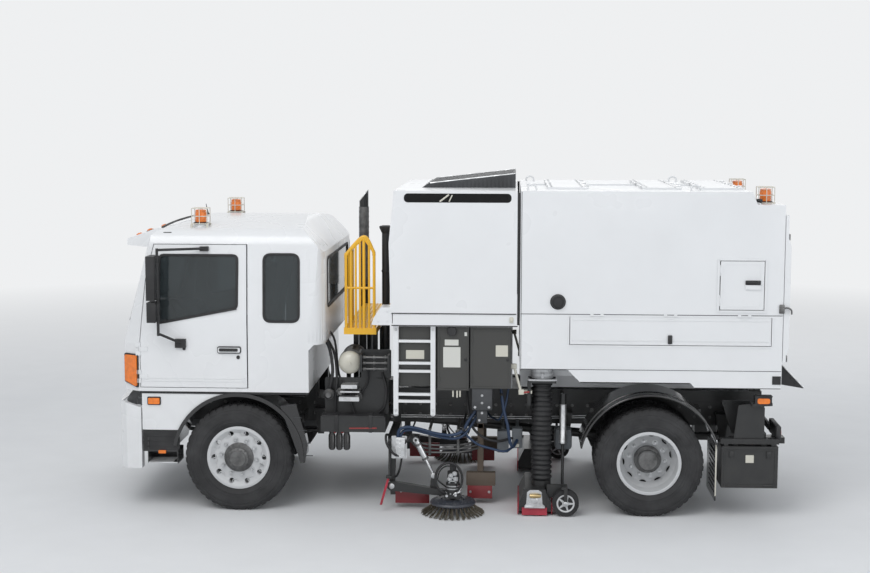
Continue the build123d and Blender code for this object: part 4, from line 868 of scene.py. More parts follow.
class SWEEPER_OT_cab_front_fittings(bpy.types.Operator):
    """Grille, headlamps, fog lamps, wipers, front seams, steps and a blank number plate"""

    bl_idname = "sweeper.cab_front_fittings"
    bl_label = "Cab front fittings"

    def execute(self, context):
        rows = []
        for z in spread(1.29, 1.62, 6):
            bar = ((0.004, z - 0.020), (-0.012, z - 0.012), (-0.012, z + 0.010), (0.004, z + 0.022))
            rows.append((sections, crosswise(cab_nose, -0.86, 0.86, 19, bar)))
        piece("grille_bars", "plastic", TRUCK, rows, MIDDLE)
        rows = []
        for z in (1.235, 1.70):
            seam = ((0.004, z - 0.006), (-0.005, z - 0.004), (-0.005, z + 0.004), (0.004, z + 0.006))
            rows.append((sections, crosswise(cab_nose, -1.0, 1.0, 21, seam)))
        for z, half in ((0.995, 0.008), (0.455, 0.022)):
            trim = ((0.006, z - half), (-0.004, z - half), (-0.004, z + half), (0.006, z + half))
            rows.append((sections, crosswise(bumper_nose, -1.08, 1.08, 23, trim)))
        piece("front_seams", "rubber", TRUCK, rows, MIDDLE)

        # Lamps in the bumper's recess and under it
        lamps = [(-3.178, y, 0.79) for y in (0.80, 0.965)]
        rows = each(band, lamps, FORE, 0.070, 0.008, 0.006)
        for y in (0.708, 0.882, 1.052):
            rows.append((box, (-3.182, y - 0.004, 0.705), (-3.176, y + 0.004, 0.875), 0.001))
        piece("headlamp_case", "plastic", TRUCK, rows)
        lens = [(0.070, -0.01), (0.070, 0.002), (0.050, 0.010), (0, 0.013)]
        fog = (bumper_nose(0.75) + 0.004, 0.75, 0.56)
        rows = each(turned, lamps, FORE, lens, 28)
        rows.append((turned, fog, FORE, [(0.055, -0.01), (0.055, 0.006), (0.046, 0.010), (0, 0.013)], 28))
        piece("headlamp_lens", "clear", TRUCK, rows)
        x = bumper_nose(0)
        rows = [(box, (x - 0.006, -0.26, 0.655), (x + 0.012, 0.26, 0.765), 0.005)]
        piece("front_plate", "plate", TRUCK, rows, MIDDLE)

        # Corner panel, step tread and the lamp over it
        rows = [(plate, -2.945, -2.60, 0.575, 0.755, 1.176, 1.186, 0.03)]
        for z in (0.61, 0.66, 0.71):
            rows.append((box, (-2.925, 1.184, z - 0.006), (-2.62, 1.190, z + 0.006), 0.002))
        piece("step_panel", "plastic", TRUCK, rows)
        rows = [(box, (-2.90, 1.188, 0.449), (-2.62, 1.194, 0.461), 0.002)]
        for i, x in enumerate(spread(-2.885, -2.675, 12)):
            for y in spread(1.0, 1.17, 9):
                y += 0.0045 if i % 2 else -0.0045
                rows.append((box, (x - 0.006, y - 0.002, 0.459), (x + 0.006, y + 0.002, 0.464)))
        piece("step_tread", "aluminium", TRUCK, rows)
        piece("step_lamp", "amber", TRUCK, [(plate, -2.80, -2.73, 0.545, 0.575, 1.188, 1.204, 0.006)])

        # Wipers lie along the foot of the screen
        rows = []
        z0, z1 = 1.765, 1.86
        for y0, y1 in ((-0.82, -0.22), (-0.05, 0.55)):
            foot = Vector((cab_nose(y0, z0) - 0.012, y0, z0))
            tip = Vector((cab_nose(y1, z1) - 0.016, y1, z1))
            rows.append((knob, foot + Vector((0.02, 0, 0)), (-1, 0, 0.25), 0.018, 0.03, 14))
            rows.append((pipe, 0.007, [foot, (foot + tip) / 2 + Vector((-0.008, 0, 0.02)), tip]))
            blade = [(y, z1 + 0.08 * (y - y1)) for y in spread(y1 - 0.30, y1 + 0.30, 9)]
            rows.append((pipe, 0.006, [(cab_nose(y, z) - 0.010, y, z) for y, z in blade], 6, 1))
        piece("wipers", "rubber", TRUCK, rows, MIDDLE)
        return {"FINISHED"}


class SWEEPER_OT_mirror_fittings(bpy.types.Operator):
    """Mirror glass, its rims and the clamps of the arms"""

    bl_idname = "sweeper.mirror_fittings"
    bl_label = "Mirror fittings"

    def execute(self, context):
        glass, rims = [], []
        x = -2.749
        for z0, z1 in ((2.025, 2.432), (1.819, 2.005)):
            for rows, grow, radius in ((glass, 0.0, 0.03), (rims, 0.008, 0.035)):
                y0, y1, low, high = 1.272 - grow, 1.438 + grow, z0 + 0.014 - grow, z1 - 0.014 + grow
                outline = rounded([(x, y0, low), (x, y1, low), (x, y1, high), (x, y0, high)], radius)
                if grow:
                    rows.append((strip, outline, AFT, 0.010, 0.005))
                else:
                    rows.append((prism, outline, (0.003, 0, 0)))
        piece("mirror_glass", "mirror", "door_@", glass)
        for z in (1.86, 1.97, 2.10, 2.35):
            rims.append((band, (-2.74, 1.37, z - 0.014), UP, 0.014, 0.028, 0.007, 20))
        rims.append((bolts, [(-2.713, 1.201, 1.81), (-2.54, 1.201, 1.545)], OUT, 0.018, 0.012))
        piece("mirror_rims", "plastic", "door_@", rims)
        return {"FINISHED"}


# Behind the cab

catwalk_front = -1.045
catwalk_rear = -0.778
catwalk_y = 0.93
deck_z = 1.720
tank_y = 0.948
stack_x = -1.069
stack_y = 1.040


def chequer(bm, centre, lean):
    """One raised lozenge of the tread pattern."""
    centre = Vector(centre)
    half, across = Vector((0.010, lean, 0)), Vector((-lean, 0.010, 0)) * 0.28
    base = [centre - half, centre - across, centre + half, centre + across]
    top = [centre + (p - centre) * 0.55 + Vector((0, 0, 0.0022)) for p in base]
    sections(bm, [base, top])


class SWEEPER_OT_catwalk_details(bpy.types.Operator):
    """Upright bars of the railing and the chequer of the deck"""

    bl_idname = "sweeper.catwalk_details"
    bl_label = "Catwalk details"

    def execute(self, context):
        rows = []
        y, peak_x = catwalk_y, -0.875
        for x in (-0.998, -0.952, -0.912, -0.826):
            top = 2.42 + (x - catwalk_front) * 0.941 if x < peak_x else 2.58 - (x - peak_x) * 1.443
            rows.append((rod, (x, y, 1.70), (x, y, top), 0.011))
        rows.append((rod, (catwalk_front, y, 2.10), (catwalk_rear, y, 2.10), 0.011))
        hoop = ((catwalk_front, 2.38), (-1.03, 2.43), (peak_x, 2.585), (-0.79, 2.46), (catwalk_rear, 2.41))
        rows.append((pipe, 0.0165, [(x, y, z) for x, z in hoop]))
        piece("railing_bars", "yellow", TRUCK, rows, LEFT)
        rows = []
        for i, x in enumerate(spread(catwalk_front, catwalk_rear, 9)):
            for j, y in enumerate(spread(-catwalk_y, catwalk_y, 52)):
                rows.append((chequer, (x, y, deck_z), 0.010 if (i + j) % 2 else -0.010))
        piece("deck_chequer", "yellow", TRUCK, rows, MIDDLE, 5.0)
        return {"FINISHED"}


def valve(bm, x, z, radius, depth):
    """A round brake valve with its cover bolts, on the valve plate."""
    steps = (
        (0, -0.02), (0.7, -0.02), (0.7, 0.02), (1, 0.025), (1, depth * 0.6), (0.8, depth * 0.7),
        (0.5, depth), (0, depth),
    )
    turned(bm, (x, 0.985, z), OUT, [(radius * share, y) for share, y in steps], 24)
    bolts(bm, ring_points((x, 0.985 + depth * 0.58, z), OUT, radius * 0.85, 6), OUT, 0.012, 0.008)


def canister(bm, x):
    """A ribbed drier canister that hangs from the box."""
    profile = [
        (0, 0), (0.020, 0.002), (0.031, 0.014), (0.031, 0.150), (0.026, 0.158), (0.026, 0.170),
        (0.031, 0.178), (0.031, 0.190), (0, 0.190),
    ]
    turned(bm, (x, 1.02, 0.56), UP, profile)
    for low in ring_points((x, 1.02, 0.585), UP, 0.031, 8):
        rod(bm, low, low + Vector((0, 0, 0.115)), 0.003, 6)


class SWEEPER_OT_service_gear(bpy.types.Operator):
    """Air tank end, valves, canisters, pipes and hoses behind the cab"""

    bl_idname = "sweeper.service_gear"
    bl_label = "Air and service gear"

    def execute(self, context):
        tank = (-1.010, tank_y, 1.390)
        cap = [
            (0.1075, -0.03), (0.1085, 0.0), (0.104, 0.022), (0.088, 0.044), (0.055, 0.060), (0.020, 0.067),
            (0.018, 0.078), (0, 0.082),
        ]
        piece("air_tank_end", "cream", TRUCK, [(turned, tank, OUT, cap, 40)], LEFT)
        rows = [(band, (-1.010, y, 1.390), OUT, 0.1075, 0.035) for y in (0.54, 0.83)]
        rows.append((valve, -1.20, 1.10, 0.05, 0.11))
        rows.append((valve, -1.09, 1.12, 0.04, 0.09))
        rows.append((valve, -0.93, 1.08, 0.045, 0.10))
        piece("valves", "cast", TRUCK, rows, LEFT)
        plates = [
            (plate, -1.245, -0.640, 0.898, 1.25, 0.955, 0.968, 0.02),
            (plate, -0.900, -0.615, 1.24, 1.52, 0.955, 0.968, 0.02),
        ]
        for x0, x1 in ((-0.90, -0.875), (-0.64, -0.615)):
            plates.append((box, (x0, 0.96, 1.325), (x1, 1.115, 1.492), 0.005))
        piece("valve_plate", "black", TRUCK, plates, LEFT)
        rows = []
        for z in (1.352, 1.408, 1.462):
            rows.append((rod, (-0.888, 1.08, z), (-0.627, 1.08, z), 0.010))
            rows.append((bolts, [(x, 1.08, z) for x in (-0.865, -0.77, -0.665)], AFT, 0.026, 0.020))
        piece("level_pipes", "cast", TRUCK, rows, LEFT)
        rows = [(canister, x) for x in (-1.175, -1.105, -1.035)]
        rows.append((box, (-1.215, 0.975, 0.742), (-0.995, 1.065, 0.756), 0.004))
        piece("canisters", "gloss_black", TRUCK, rows, LEFT)
        rows = [(knob, (x, 1.062, 0.748), OUT, 0.016, 0.021) for x in (-1.14, -1.07)]
        rows.append((rod, (-1.00, 1.122, 0.79), (-0.74, 1.122, 0.795), 0.007, 8))
        piece("red_taps", "red", TRUCK, rows, LEFT)
        rows = [(box, (-1.262, 0.48, 0.898), (-0.668, 1.124, 0.912), 0.006)]
        rows += [(box, (x - 0.018, 0.475, 0.752), (x + 0.018, 1.128, 0.918), 0.004) for x in (-1.12, -0.80)]
        piece("battery_lid", "plastic", TRUCK, rows, LEFT)
        rows = [
            (plate, -1.075, -0.925, 1.168, 1.204, 0.966, 1.120),
            (plate, -1.095, -0.905, 1.050, 1.090, 0.966, 1.128),
            (plate, -1.085, -0.905, 1.128, 1.142, 0.966, 1.105),
        ]
        piece("silver_plates", "aluminium", TRUCK, rows, LEFT)
        rows = [(box, (x - 0.03, 0.46, 0.554), (x + 0.03, 1.126, 0.886), 0.012) for x in (-1.13, -0.80)]
        rows.append((knob, (-0.965, 1.0, 0.88), UP, 0.048, 0.045, 28))
        rows += [(band, (stack_x, stack_y, z), UP, 0.095, 0.030) for z in (0.98, 1.40)]
        piece("tank_straps", "cast", TRUCK, rows, RIGHT)

        # Hoses from the cab down to the frame
        hoses = (
            (0.016, (-1.255, 0.90, 1.62), (-1.20, 0.93, 1.50), (-1.17, 0.98, 1.32), (-1.19, 1.00, 1.18),
             (-1.20, 0.99, 1.11)),
            (0.013, (-1.245, 0.80, 1.60), (-1.17, 0.84, 1.46), (-1.13, 0.98, 1.25), (-1.14, 1.01, 1.08),
             (-1.15, 0.99, 0.90)),
            (0.011, (-1.250, 0.62, 1.66), (-1.18, 0.70, 1.55), (-1.12, 0.90, 1.27), (-1.05, 0.99, 1.18),
             (-0.96, 1.0, 0.90)),
            (0.010, (-0.90, 0.99, 1.10), (-0.84, 1.00, 1.20), (-0.83, 1.04, 1.34), (-0.83, 1.08, 1.352)),
            (0.014, (-0.70, 0.97, 1.30), (-0.66, 1.0, 1.15), (-0.68, 1.0, 0.98), (-0.75, 0.98, 0.90)),
        )
        piece("service_hoses", "rubber", TRUCK, pipes(hoses), LEFT)

        # Perforated sleeve, bright edge and bevelled mouth of the exhaust, and the intake's head
        stack = Vector((stack_x, stack_y, 0))
        sleeve = [(0.047, 0), (0.053, 0.002), (0.053, 0.83), (0.047, 0.832)]
        rows = [(turned, stack + Vector((0, 0, 1.92)), UP, sleeve, 40, True)]
        for z in spread(1.97, 2.70, 14):
            for p in ring_points(stack + Vector((0, 0, z)), UP, 0.0525, 10):
                out = p - stack - Vector((0, 0, z))
                rows.append((turned, p, out, [(0.006, -0.002), (0.009, 0.0015), (0.006, 0.0015)], 8, True))
        piece("stack_sleeve", "cast", TRUCK, rows, RIGHT)
        mouth = ring_points(stack, UP, 0.047, 28)
        mouth = [p + Vector((0, 0, 2.870 + (p.x - stack.x) * 1.36)) for p in mouth]
        rows = [(pipe, 0.005, [*mouth, mouth[0]], 8, 1)]
        rows.append((box, (-1.124, 1.03, 1.93), (-1.118, 1.05, 2.745), 0.002))
        piece("stack_mouth", "aluminium", TRUCK, rows, RIGHT)
        rows = [(band, (-0.712, 0.40, z), UP, 0.038, 0.018) for z in (1.80, 2.20, 2.60)]
        head = [(0.039, -0.06), (0.062, -0.01), (0.064, 0.004), (0.058, 0.010), (0.0, 0.013)]
        rows.append((turned, (-0.712, 0.40, 2.640), UP, head, 28))
        piece("intake_head", "plastic", TRUCK, rows, LEFT)
        return {"FINISHED"}


# Engine cover and hopper


class SWEEPER_OT_cover_details(bpy.types.Operator):
    """Air slot, dark raised intake, seams and plates of the engine cover, and its cabinets"""

    bl_idname = "sweeper.cover_details"
    bl_label = "Engine cover details"

    def execute(self, context):
        # Back of the slot with its louvres, near-black as painted shade inside the slot, and the stay that
        # shows in it
        rows = [(plate, -0.474, 0.511, 2.927, 3.009, 1.215, 1.2335, 0.036)]
        for z in spread(2.936, 3.000, 7):
            rows.append((box, (-0.45, 1.232, z - 0.002), (0.487, 1.240, z + 0.002)))
        piece("slot_screen", "void", TRUCK, rows)
        rows = [
            (rod, (-0.145, 1.240, 2.935), (-0.06, 1.240, 3.000), 0.008, 8),
            (rod, (-0.06, 1.240, 2.935), (-0.03, 1.240, 2.996), 0.006, 8),
        ]
        piece("slot_stay", "cream", TRUCK, rows)

        # The raised intake: mesh sides and a dark top
        wedge = [(-0.338, 3.036), (-0.270, 3.074), (0.548, 3.168), (0.548, 3.036)]
        rows = [(slab, wedge, 0.6195, 0.6235)]
        for x in spread(-0.26, 0.50, 21):
            rows.append((box, (x, 0.622, 3.042), (x + 0.006, 0.6285, 3.058 + (x + 0.268) * 0.1143), 0.001))
        piece("intake_side", "dark_grey", TRUCK, rows)
        top = [
            (-0.346, 3.034), (-0.272, 3.0800), (0.549, 3.1735), (0.549, 3.168), (-0.268, 3.0740),
            (-0.336, 3.034),
        ]
        rows = [(slab, top, -0.622, 0.622)]
        rib = ((-0.01, 0), (-0.008, 0.004), (0.008, 0.004), (0.01, 0))
        for y in spread(-0.54, 0.54, 7):
            ends = [[(x, y + a, 3.078 + (x + 0.272) * 0.1139 + b) for a, b in rib] for x in (-0.25, 0.53)]
            rows.append((sections, ends))
        piece("intake_top", "dark_grey", TRUCK, rows, MIDDLE)
        rows = [(rod, (-0.27, 0.62, 3.078), (0.548, 0.62, 3.171), 0.006, 8)]
        rows.append((bolts, [(-0.305, y, 3.061) for y in (0.1, 0.3, 0.5)], (-0.5, 0, 0.86), 0.012))
        piece("intake_edges", "steel", TRUCK, rows)

        # Seams, lamp and the bracket box in front of the plinth
        rows = [(box, (-0.588, 1.243, 1.898), (0.562, 1.2475, 1.907), 0.002)]
        rows.append((box, (-0.590, 1.236, 1.784), (0.575, 1.2425, 1.793), 0.002))
        rows.append((box, (0.570, 1.225, 1.80), (0.592, 1.238, 3.02), 0.003))
        piece("plinth_seams", "rubber", TRUCK, rows)
        rows = [(box, (0.50, 1.237, 1.822), (0.536, 1.254, 1.874), 0.006)]
        rows.append((knob, (0.518, 1.254, 1.848), OUT, 0.012, 0.008))
        piece("plinth_lamp", "cream", TRUCK, rows)
        bracket = [(-0.778, 1.79), (-0.586, 1.79), (-0.586, 1.955), (-0.690, 1.955), (-0.755, 1.86)]
        rows = [(slab, bracket, 1.02, 1.236, 0.015)]
        rows.append((bolts, [(-0.71, 1.235, 1.83), (-0.63, 1.235, 1.83), (-0.63, 1.235, 1.92)], OUT, 0.016))
        piece("bracket_box", "body_white", TRUCK, rows, LEFT)

        # Cabinet doors: edges, hinges, latches, blank plates and the round grip above them
        rows = []
        y = 1.195
        for x0, x1, z0 in ((-0.160, 0.121, 1.182), (0.146, 0.511, 1.203)):
            rows.append((frame_strip, x0, x1, z0, 1.750, y, 0.012, 0.006))
            x = x0 + 0.012
            rows += [(rod, (x, 1.200, z - 0.03), (x, 1.200, z + 0.03), 0.007) for z in (1.28, 1.66)]
        piece("cabinet_edges", "cabinet", TRUCK, rows)
        grip = [(0.022, -0.01), (0.022, 0.014), (0.042, 0.018), (0.045, 0.026), (0.040, 0.036), (0, 0.038)]
        rows = each(knob, [(0.098, y, 1.47), (0.488, y, 1.47)], OUT, 0.016, 0.008)
        rows.append((turned, (-0.031, y, 1.735), OUT, grip, 28))
        piece("cabinet_knobs", "plastic", TRUCK, rows)
        rows = [
            (plate, -0.112, 0.048, 1.395, 1.585, 1.193, 1.1985),
            (plate, -0.098, 0.030, 1.600, 1.655, 1.193, 1.1985),
            (plate, 0.085, 0.120, 1.690, 1.725, 1.193, 1.1990),
        ]
        piece("cabinet_plates", "plate", TRUCK, rows)
        rows = [
            (plate, 0.375, 0.488, 1.500, 1.605, 1.193, 1.1985),
            (plate, -0.462, -0.292, 1.462, 1.545, 1.142, 1.147),
        ]
        piece("cream_plates", "cream", TRUCK, rows)
        rows = [(box, (-0.530, 0.90, 1.20), (-0.165, 1.143, 1.783), 0.012)]
        piece("rear_cabinet", "cabinet", TRUCK, rows)

        # Round feet, end bolts and grips of the steps
        rows = []
        foot = [(0, 0), (0.018, 0), (0.026, 0.008), (0.026, 0.022), (0, 0.022)]
        for x in (-0.5535, -0.2075):
            rows.append((turned, (x, 1.1725, 0.925), UP, foot, 18))
            rows.append((bolts, [(x, 1.195, 1.745), (x, 1.195, 0.985)], OUT, 0.018, 0.010))
        for z in (1.068, 1.134, 1.352, 1.428, 1.635):
            for x in spread(-0.515, -0.245, 15):
                rows.append((box, (x - 0.004, 1.157, z + 0.0118), (x + 0.004, 1.188, z + 0.0142)))
        piece("step_grips", "aluminium", TRUCK, rows)
        return {"FINISHED"}


class SWEEPER_OT_hopper_details(bpy.types.Operator):
    """Seams, frames, latches, caps and roof fittings of the hopper"""

    bl_idname = "sweeper.hopper_details"
    bl_label = "Hopper details"

    def execute(self, context):
        y = body_y
        seams = ((0.600, 1.9045, 2.985, 1.9105), (0.600, 1.392, 2.985, 1.397), (0.604, 1.40, 0.609, 3.03))
        rows = [(box, (x0, 1.2435, z0), (x1, 1.2470, z1), 0.001) for x0, z0, x1, z1 in seams]
        piece("hopper_seams", "dark_grey", "hopper", rows)
        rows = [
            (frame_strip, 2.388, 2.837, 1.936, 2.432, y, 0.020, 0.010),
            (frame_strip, 1.036, 2.907, 1.608, 1.902, y, 0.014, 0.005),
        ]
        piece("opening_frames", "body_white", "hopper", rows)
        rows = [(frame_strip, 2.4105, 2.8145, 1.955, 2.413, y - 0.001, 0.004, 0.0022)]
        piece("hatch_gap", "rubber", "hopper", rows)
        rows = [(frame_strip, 2.44, 2.785, 1.985, 2.385, y + 0.005, 0.010, 0.004, 0.03)]
        piece("hatch_press", "body_white", "hatch_@", rows)
        rows = [
            (box, (2.640, 1.250, 2.192), (2.780, 1.266, 2.232), 0.007),
            (box, (2.655, 1.264, 2.204), (2.765, 1.278, 2.220), 0.005),
            (knob, (2.755, 1.266, 2.212), OUT, 0.018, 0.018),
        ]
        piece("hatch_lever", "plastic", "hatch_@", rows)
        rows = [
            (box, (1.950, 1.246, 1.640), (1.990, 1.262, 1.722), 0.007),
            (box, (1.958, 1.260, 1.652), (1.982, 1.272, 1.700), 0.005),
        ]
        piece("flap_latch", "plastic", "locker_flap_@", rows)
        rows = [(box, (1.075, 1.246, z - 0.003), (2.868, 1.2492, z + 0.003), 0.001) for z in (1.665, 1.855)]
        piece("flap_press", "body_white", "locker_flap_@", rows)

        # Round cap, marker square, and the hook latch with its plate
        cap = [
            (0.070, -0.004), (0.072, 0.004), (0.064, 0.010), (0.062, 0.022), (0.056, 0.030), (0.050, 0.031),
            (0.046, 0.024), (0, 0.024),
        ]
        rows = [(turned, (0.943, y, 2.021), OUT, cap, 36)]
        for p in ring_points((0.943, y + 0.008, 2.021), OUT, 0.060, 12):
            rows.append((rod, p, p + Vector((0, 0.014, 0)), 0.0045, 6))
        rows.append((plate, 2.906, 2.984, 1.273, 1.350, 1.243, 1.250))
        piece("filler_cap", "plastic", "hopper", rows)
        rows = [
            (box, (2.952, 1.243, 1.930), (3.000, 1.262, 2.012), 0.006),
            (knob, (2.976, 1.262, 1.972), OUT, 0.018, 0.012),
        ]
        hook = [(2.976, 1.268, 1.972), (3.02, 1.268, 1.985), (3.058, 1.262, 1.965), (3.066, 1.25, 1.925)]
        rows.append((pipe, 0.008, hook))
        piece("hook_latch", "cast", "hopper", rows)
        edges = ((1.155, 1.270, 2.160, 1.281), (0.60, 1.390, 1.030, 1.3985), (2.205, 1.230, 2.985, 1.2385))
        rows = [(box, (x0, 1.226, z0), (x1, 1.243, z1), 0.002) for x0, z0, x1, z1 in edges]
        piece("skirt_edges", "rubber", "hopper", rows)

        # Roof: hinges, latches and bolts of the three lids, lifting eyes, drip edge and knob
        rows = []
        for x0, x1 in ((0.85, 1.23), (1.735, 2.095), (2.265, 2.67)):
            for y in (-0.6, 0.0, 0.6):
                rows.append((rod, (x0 - 0.004, y - 0.05, 3.056), (x0 - 0.004, y + 0.05, 3.056), 0.008))
                rows.append((box, (x1 - 0.03, y - 0.025, 3.050), (x1 + 0.014, y + 0.025, 3.064), 0.004))
            for x in (x0 + 0.035, x1 - 0.060):
                rows.append((bolts, [(x, y, 3.053) for y in spread(-0.8, 0.8, 9)], UP, 0.014))
        piece("lid_fittings", "aluminium", "hopper", rows, MIDDLE)
        rows = []
        for x in (0.70, 2.20):
            eye = ((-0.04, 3.030), (-0.035, 3.066), (0, 3.084), (0.035, 3.066), (0.04, 3.030))
            rows.append((pipe, 0.009, [(x + dx, 1.02, z) for dx, z in eye]))
        rows.append((box, (2.762, 0, 2.9165), (2.776, 1.20, 2.930), 0.003))
        piece("lifting_eyes", "body_white", "hopper", rows)
        button = [(0.022, 0), (0.022, 0.02), (0.030, 0.028), (0.026, 0.045), (0, 0.048)]
        rows = [(turned, (2.785, 1.02, 2.916), UP, button, 20)]
        rows.append((rod, (2.785, 1.02, 2.95), (2.735, 1.02, 2.905), 0.007, 8))
        piece("roof_knob", "plastic", "hopper", rows, LEFT)

        # Tailgate clamps and blank reflectors, and the chute's rubber sides with bright edges
        rows = []
        for z in (1.50, 2.10, 2.62):
            rows.append((box, (3.012, 1.10, z - 0.03), (3.052, 1.17, z + 0.03), 0.006))
            rows.append((rod, (3.032, 1.09, z), (3.032, 1.20, z), 0.011))
        piece("gate_clamps", "cast", "tailgate", rows)
        rows = [(box, (3.020, 0.70, 1.60), (3.0275, 1.02, 1.74), 0.003)]
        piece("gate_plates", "red_lens", "tailgate", rows)
        rows = [(slab, [(2.992, 1.254), (3.220, 1.216), (2.992, 1.462)], 1.0995, 1.1035)]
        places = [(2.998 + 0.16 * t, 1.1035, 1.43 - 0.18 * t) for t in (0.15, 0.4, 0.65, 0.9)]
        rows.append((bolts, places, OUT, 0.012))
        piece("chute_sides", "rubber", "hopper", rows)
        rows = [(rod, (2.985, 1.098, 1.468), (3.222, 1.098, 1.222), 0.007, 8)]
        piece("chute_edges", "aluminium", "hopper", rows)
        return {"FINISHED"}


# Sweeping gear

hose_x = 0.81
hose_y = 1.0
brush_x = -0.02
brush_y = 1.15


def bristles(bm, tufts):
    """Flat tufts of wire that fan out and down from the brush plate."""
    picker = random.Random(11)
    for first, reach, count in ((0.188, 0.302, tufts), (0.150, 0.245, tufts * 2 // 3)):
        for i in range(count):
            turn = 2 * math.pi * i / count + first
            for fan in spread(-1, 1, 13):
                root = turn + fan * 0.016
                swing = fan * 0.036 + picker.uniform(-0.02, 0.02)
                far = reach * (1 - 0.06 * fan * fan) + picker.uniform(-0.010, 0.003)
                low = picker.uniform(0.003, 0.013)
                points = []
                for t in (0.0, 0.4, 0.75, 1.0):
                    angle = root + swing * t
                    r = first + (far - first) * (0.55 * t + 0.45 * t * t)
                    z = 0.100 + (low - 0.100) * t**0.85
                    points.append((brush_x + r * math.cos(angle), brush_y + r * math.sin(angle), z))
                pipe(bm, 0.0017, points, 3, 1)


def corrugated(bm, low, high, rings):
    """The suction hose: deep round rings one above the other."""
    pitch = (high - low) / rings
    wave = (
        (0.0835, 0.02), (0.0855, 0.16), (0.0960, 0.30), (0.0978, 0.42), (0.0978, 0.62), (0.0960, 0.74),
        (0.0855, 0.88),
    )
    profile = [(r, low + pitch * (i + share)) for i in range(rings) for r, share in wave]
    profile += [(0.0835, high), (0.078, high), (0.078, low)]
    turned(bm, (hose_x, hose_y, 0), UP, profile, 48, True)


def arc(x, y, z, wide, high, first, last, count):
    """Points on an upright oval beside the truck, between two angles in degrees."""
    turns = [math.radians(a) for a in spread(first, last, count)]
    return [(x + wide * math.cos(a), y, z + high * math.sin(a)) for a in turns]


class SWEEPER_OT_brushes(bpy.types.Operator):
    """Brush plates, wire bristles, motor heads and lift cylinders"""

    bl_idname = "sweeper.brushes"
    bl_label = "Channel brushes"

    def execute(self, context):
        x, y = brush_x, brush_y
        disc = [
            (0.03, 0.094), (0.205, 0.094), (0.213, 0.098), (0.215, 0.108), (0.206, 0.122), (0.150, 0.131),
            (0.070, 0.1315), (0.03, 0.1315),
        ]
        rows = [
            (turned, (x, y, 0), UP, disc, 64, True),
            (bolts, ring_points((x, y, 0.131), UP, 0.105, 8), UP, 0.018),
        ]
        rows += [(knob, p, UP, 0.011, 0.008, 10) for p in ring_points((x, y, 0.124), UP, 0.180, 24)]
        piece("brush_plate", "blue_black", "brush_@", rows)
        wires = piece("brush_wire", "bristle", "brush_@", [(bristles, context.scene.sweeper_tyres.tufts)])
        for side, wire in zip(("left", "right"), wires):
            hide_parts("brush_" + side)

        # Motor head: cooling rings, flange bolts, ports and hose loops
        arm = "brush_arm_@"
        rows = [(bolts, ring_points((x, y, 0.195), UP, 0.068, 8, 0.3), UP, 0.015)]
        rows.append((bolts, ring_points((x, y, 0.300), UP, 0.059, 6, 0.3), UP, 0.015))
        for z, r in ((0.235, 0.066), (0.262, 0.066), (0.310, 0.052), (0.34, 0.052)):
            rows.append((band, (x, y, z), UP, r, 0.012, 0.004))
        for dx, z in ((-0.027, 0.34), (0.027, 0.34), (0.018, 0.39), (-0.018, 0.37)):
            rows.append((rod, (x + dx, y, z), (x + dx, y + 0.084, z), 0.012))
            rows.append((bolts, [(x + dx, y + 0.058, z)], OUT, 0.028, 0.018))
        piece("motor_fittings", "steel", arm, rows)
        loop = arc(-0.055, 1.222, 0.345, 0.125, 0.150, -55, 235, 20)
        outer = [(0.005, 1.20, 0.200), *loop, (-0.085, 1.19, 0.190)]
        loop = arc(-0.060, 1.215, 0.345, 0.098, 0.118, -35, 190, 16)
        inner = [(0.012, 1.18, 0.265), *loop, (-0.085, 1.17, 0.255), (-0.06, 1.16, 0.24)]
        rows = [(pipe, 0.012, outer, 10, 3), (pipe, 0.007, inner, 8, 3)]
        piece("motor_hoses", "rubber", arm, rows)
        elbow = [(-0.02, 1.212, 0.175), (0.005, 1.220, 0.205), (0.040, 1.216, 0.215), (0.052, 1.200, 0.245)]
        places = [(0.008, 1.205, 0.188), (0.040, 1.205, 0.235), (-0.075, 1.205, 0.180)]
        rows = [(pipe, 0.011, elbow), *each(knob, places, OUT, 0.016, 0.022, 14)]
        piece("motor_bright_parts", "chrome", arm, rows)
        boss = [(0.026, -0.004), (0.026, 0.005), (0.018, 0.009), (0.010, 0.009), (0, 0.012)]
        rows = []
        for px, pz in ((-0.60, 0.24), (-0.205, 0.347)):
            for edge, way in ((1.058, -1), (1.122, 1)):
                rows.append((turned, (px, edge, pz), (0, way, 0), boss, 20))
        piece("arm_pins", "steel", arm, rows)
        top, foot = Vector((-0.373, 1.09, 0.683)), Vector((-0.205, 1.09, 0.347))
        line = (foot - top).normalized()
        rows = [(band, top + line * along, line, 0.0275, 0.022) for along in (0.040, 0.188)]
        for along in (0.052, 0.198):
            place = top + line * along
            rows.append((rod, place + Vector((0, 0.024, 0)), place + Vector((0, 0.048, 0)), 0.009))
        piece("cylinder_glands", "cast", "lift_barrel_@", rows)
        return {"FINISHED"}


def castor_spoke(bm, face, out, turn):
    radial = Vector((math.cos(turn), 0, math.sin(turn)))
    across = Vector((-math.sin(turn), 0, math.cos(turn)))
    corners = ((0.026, -0.011), (0.074, -0.006), (0.074, 0.006), (0.026, 0.011))
    prism(bm, [face + radial * a + across * b for a, b in corners], (0, out * 0.004, 0))


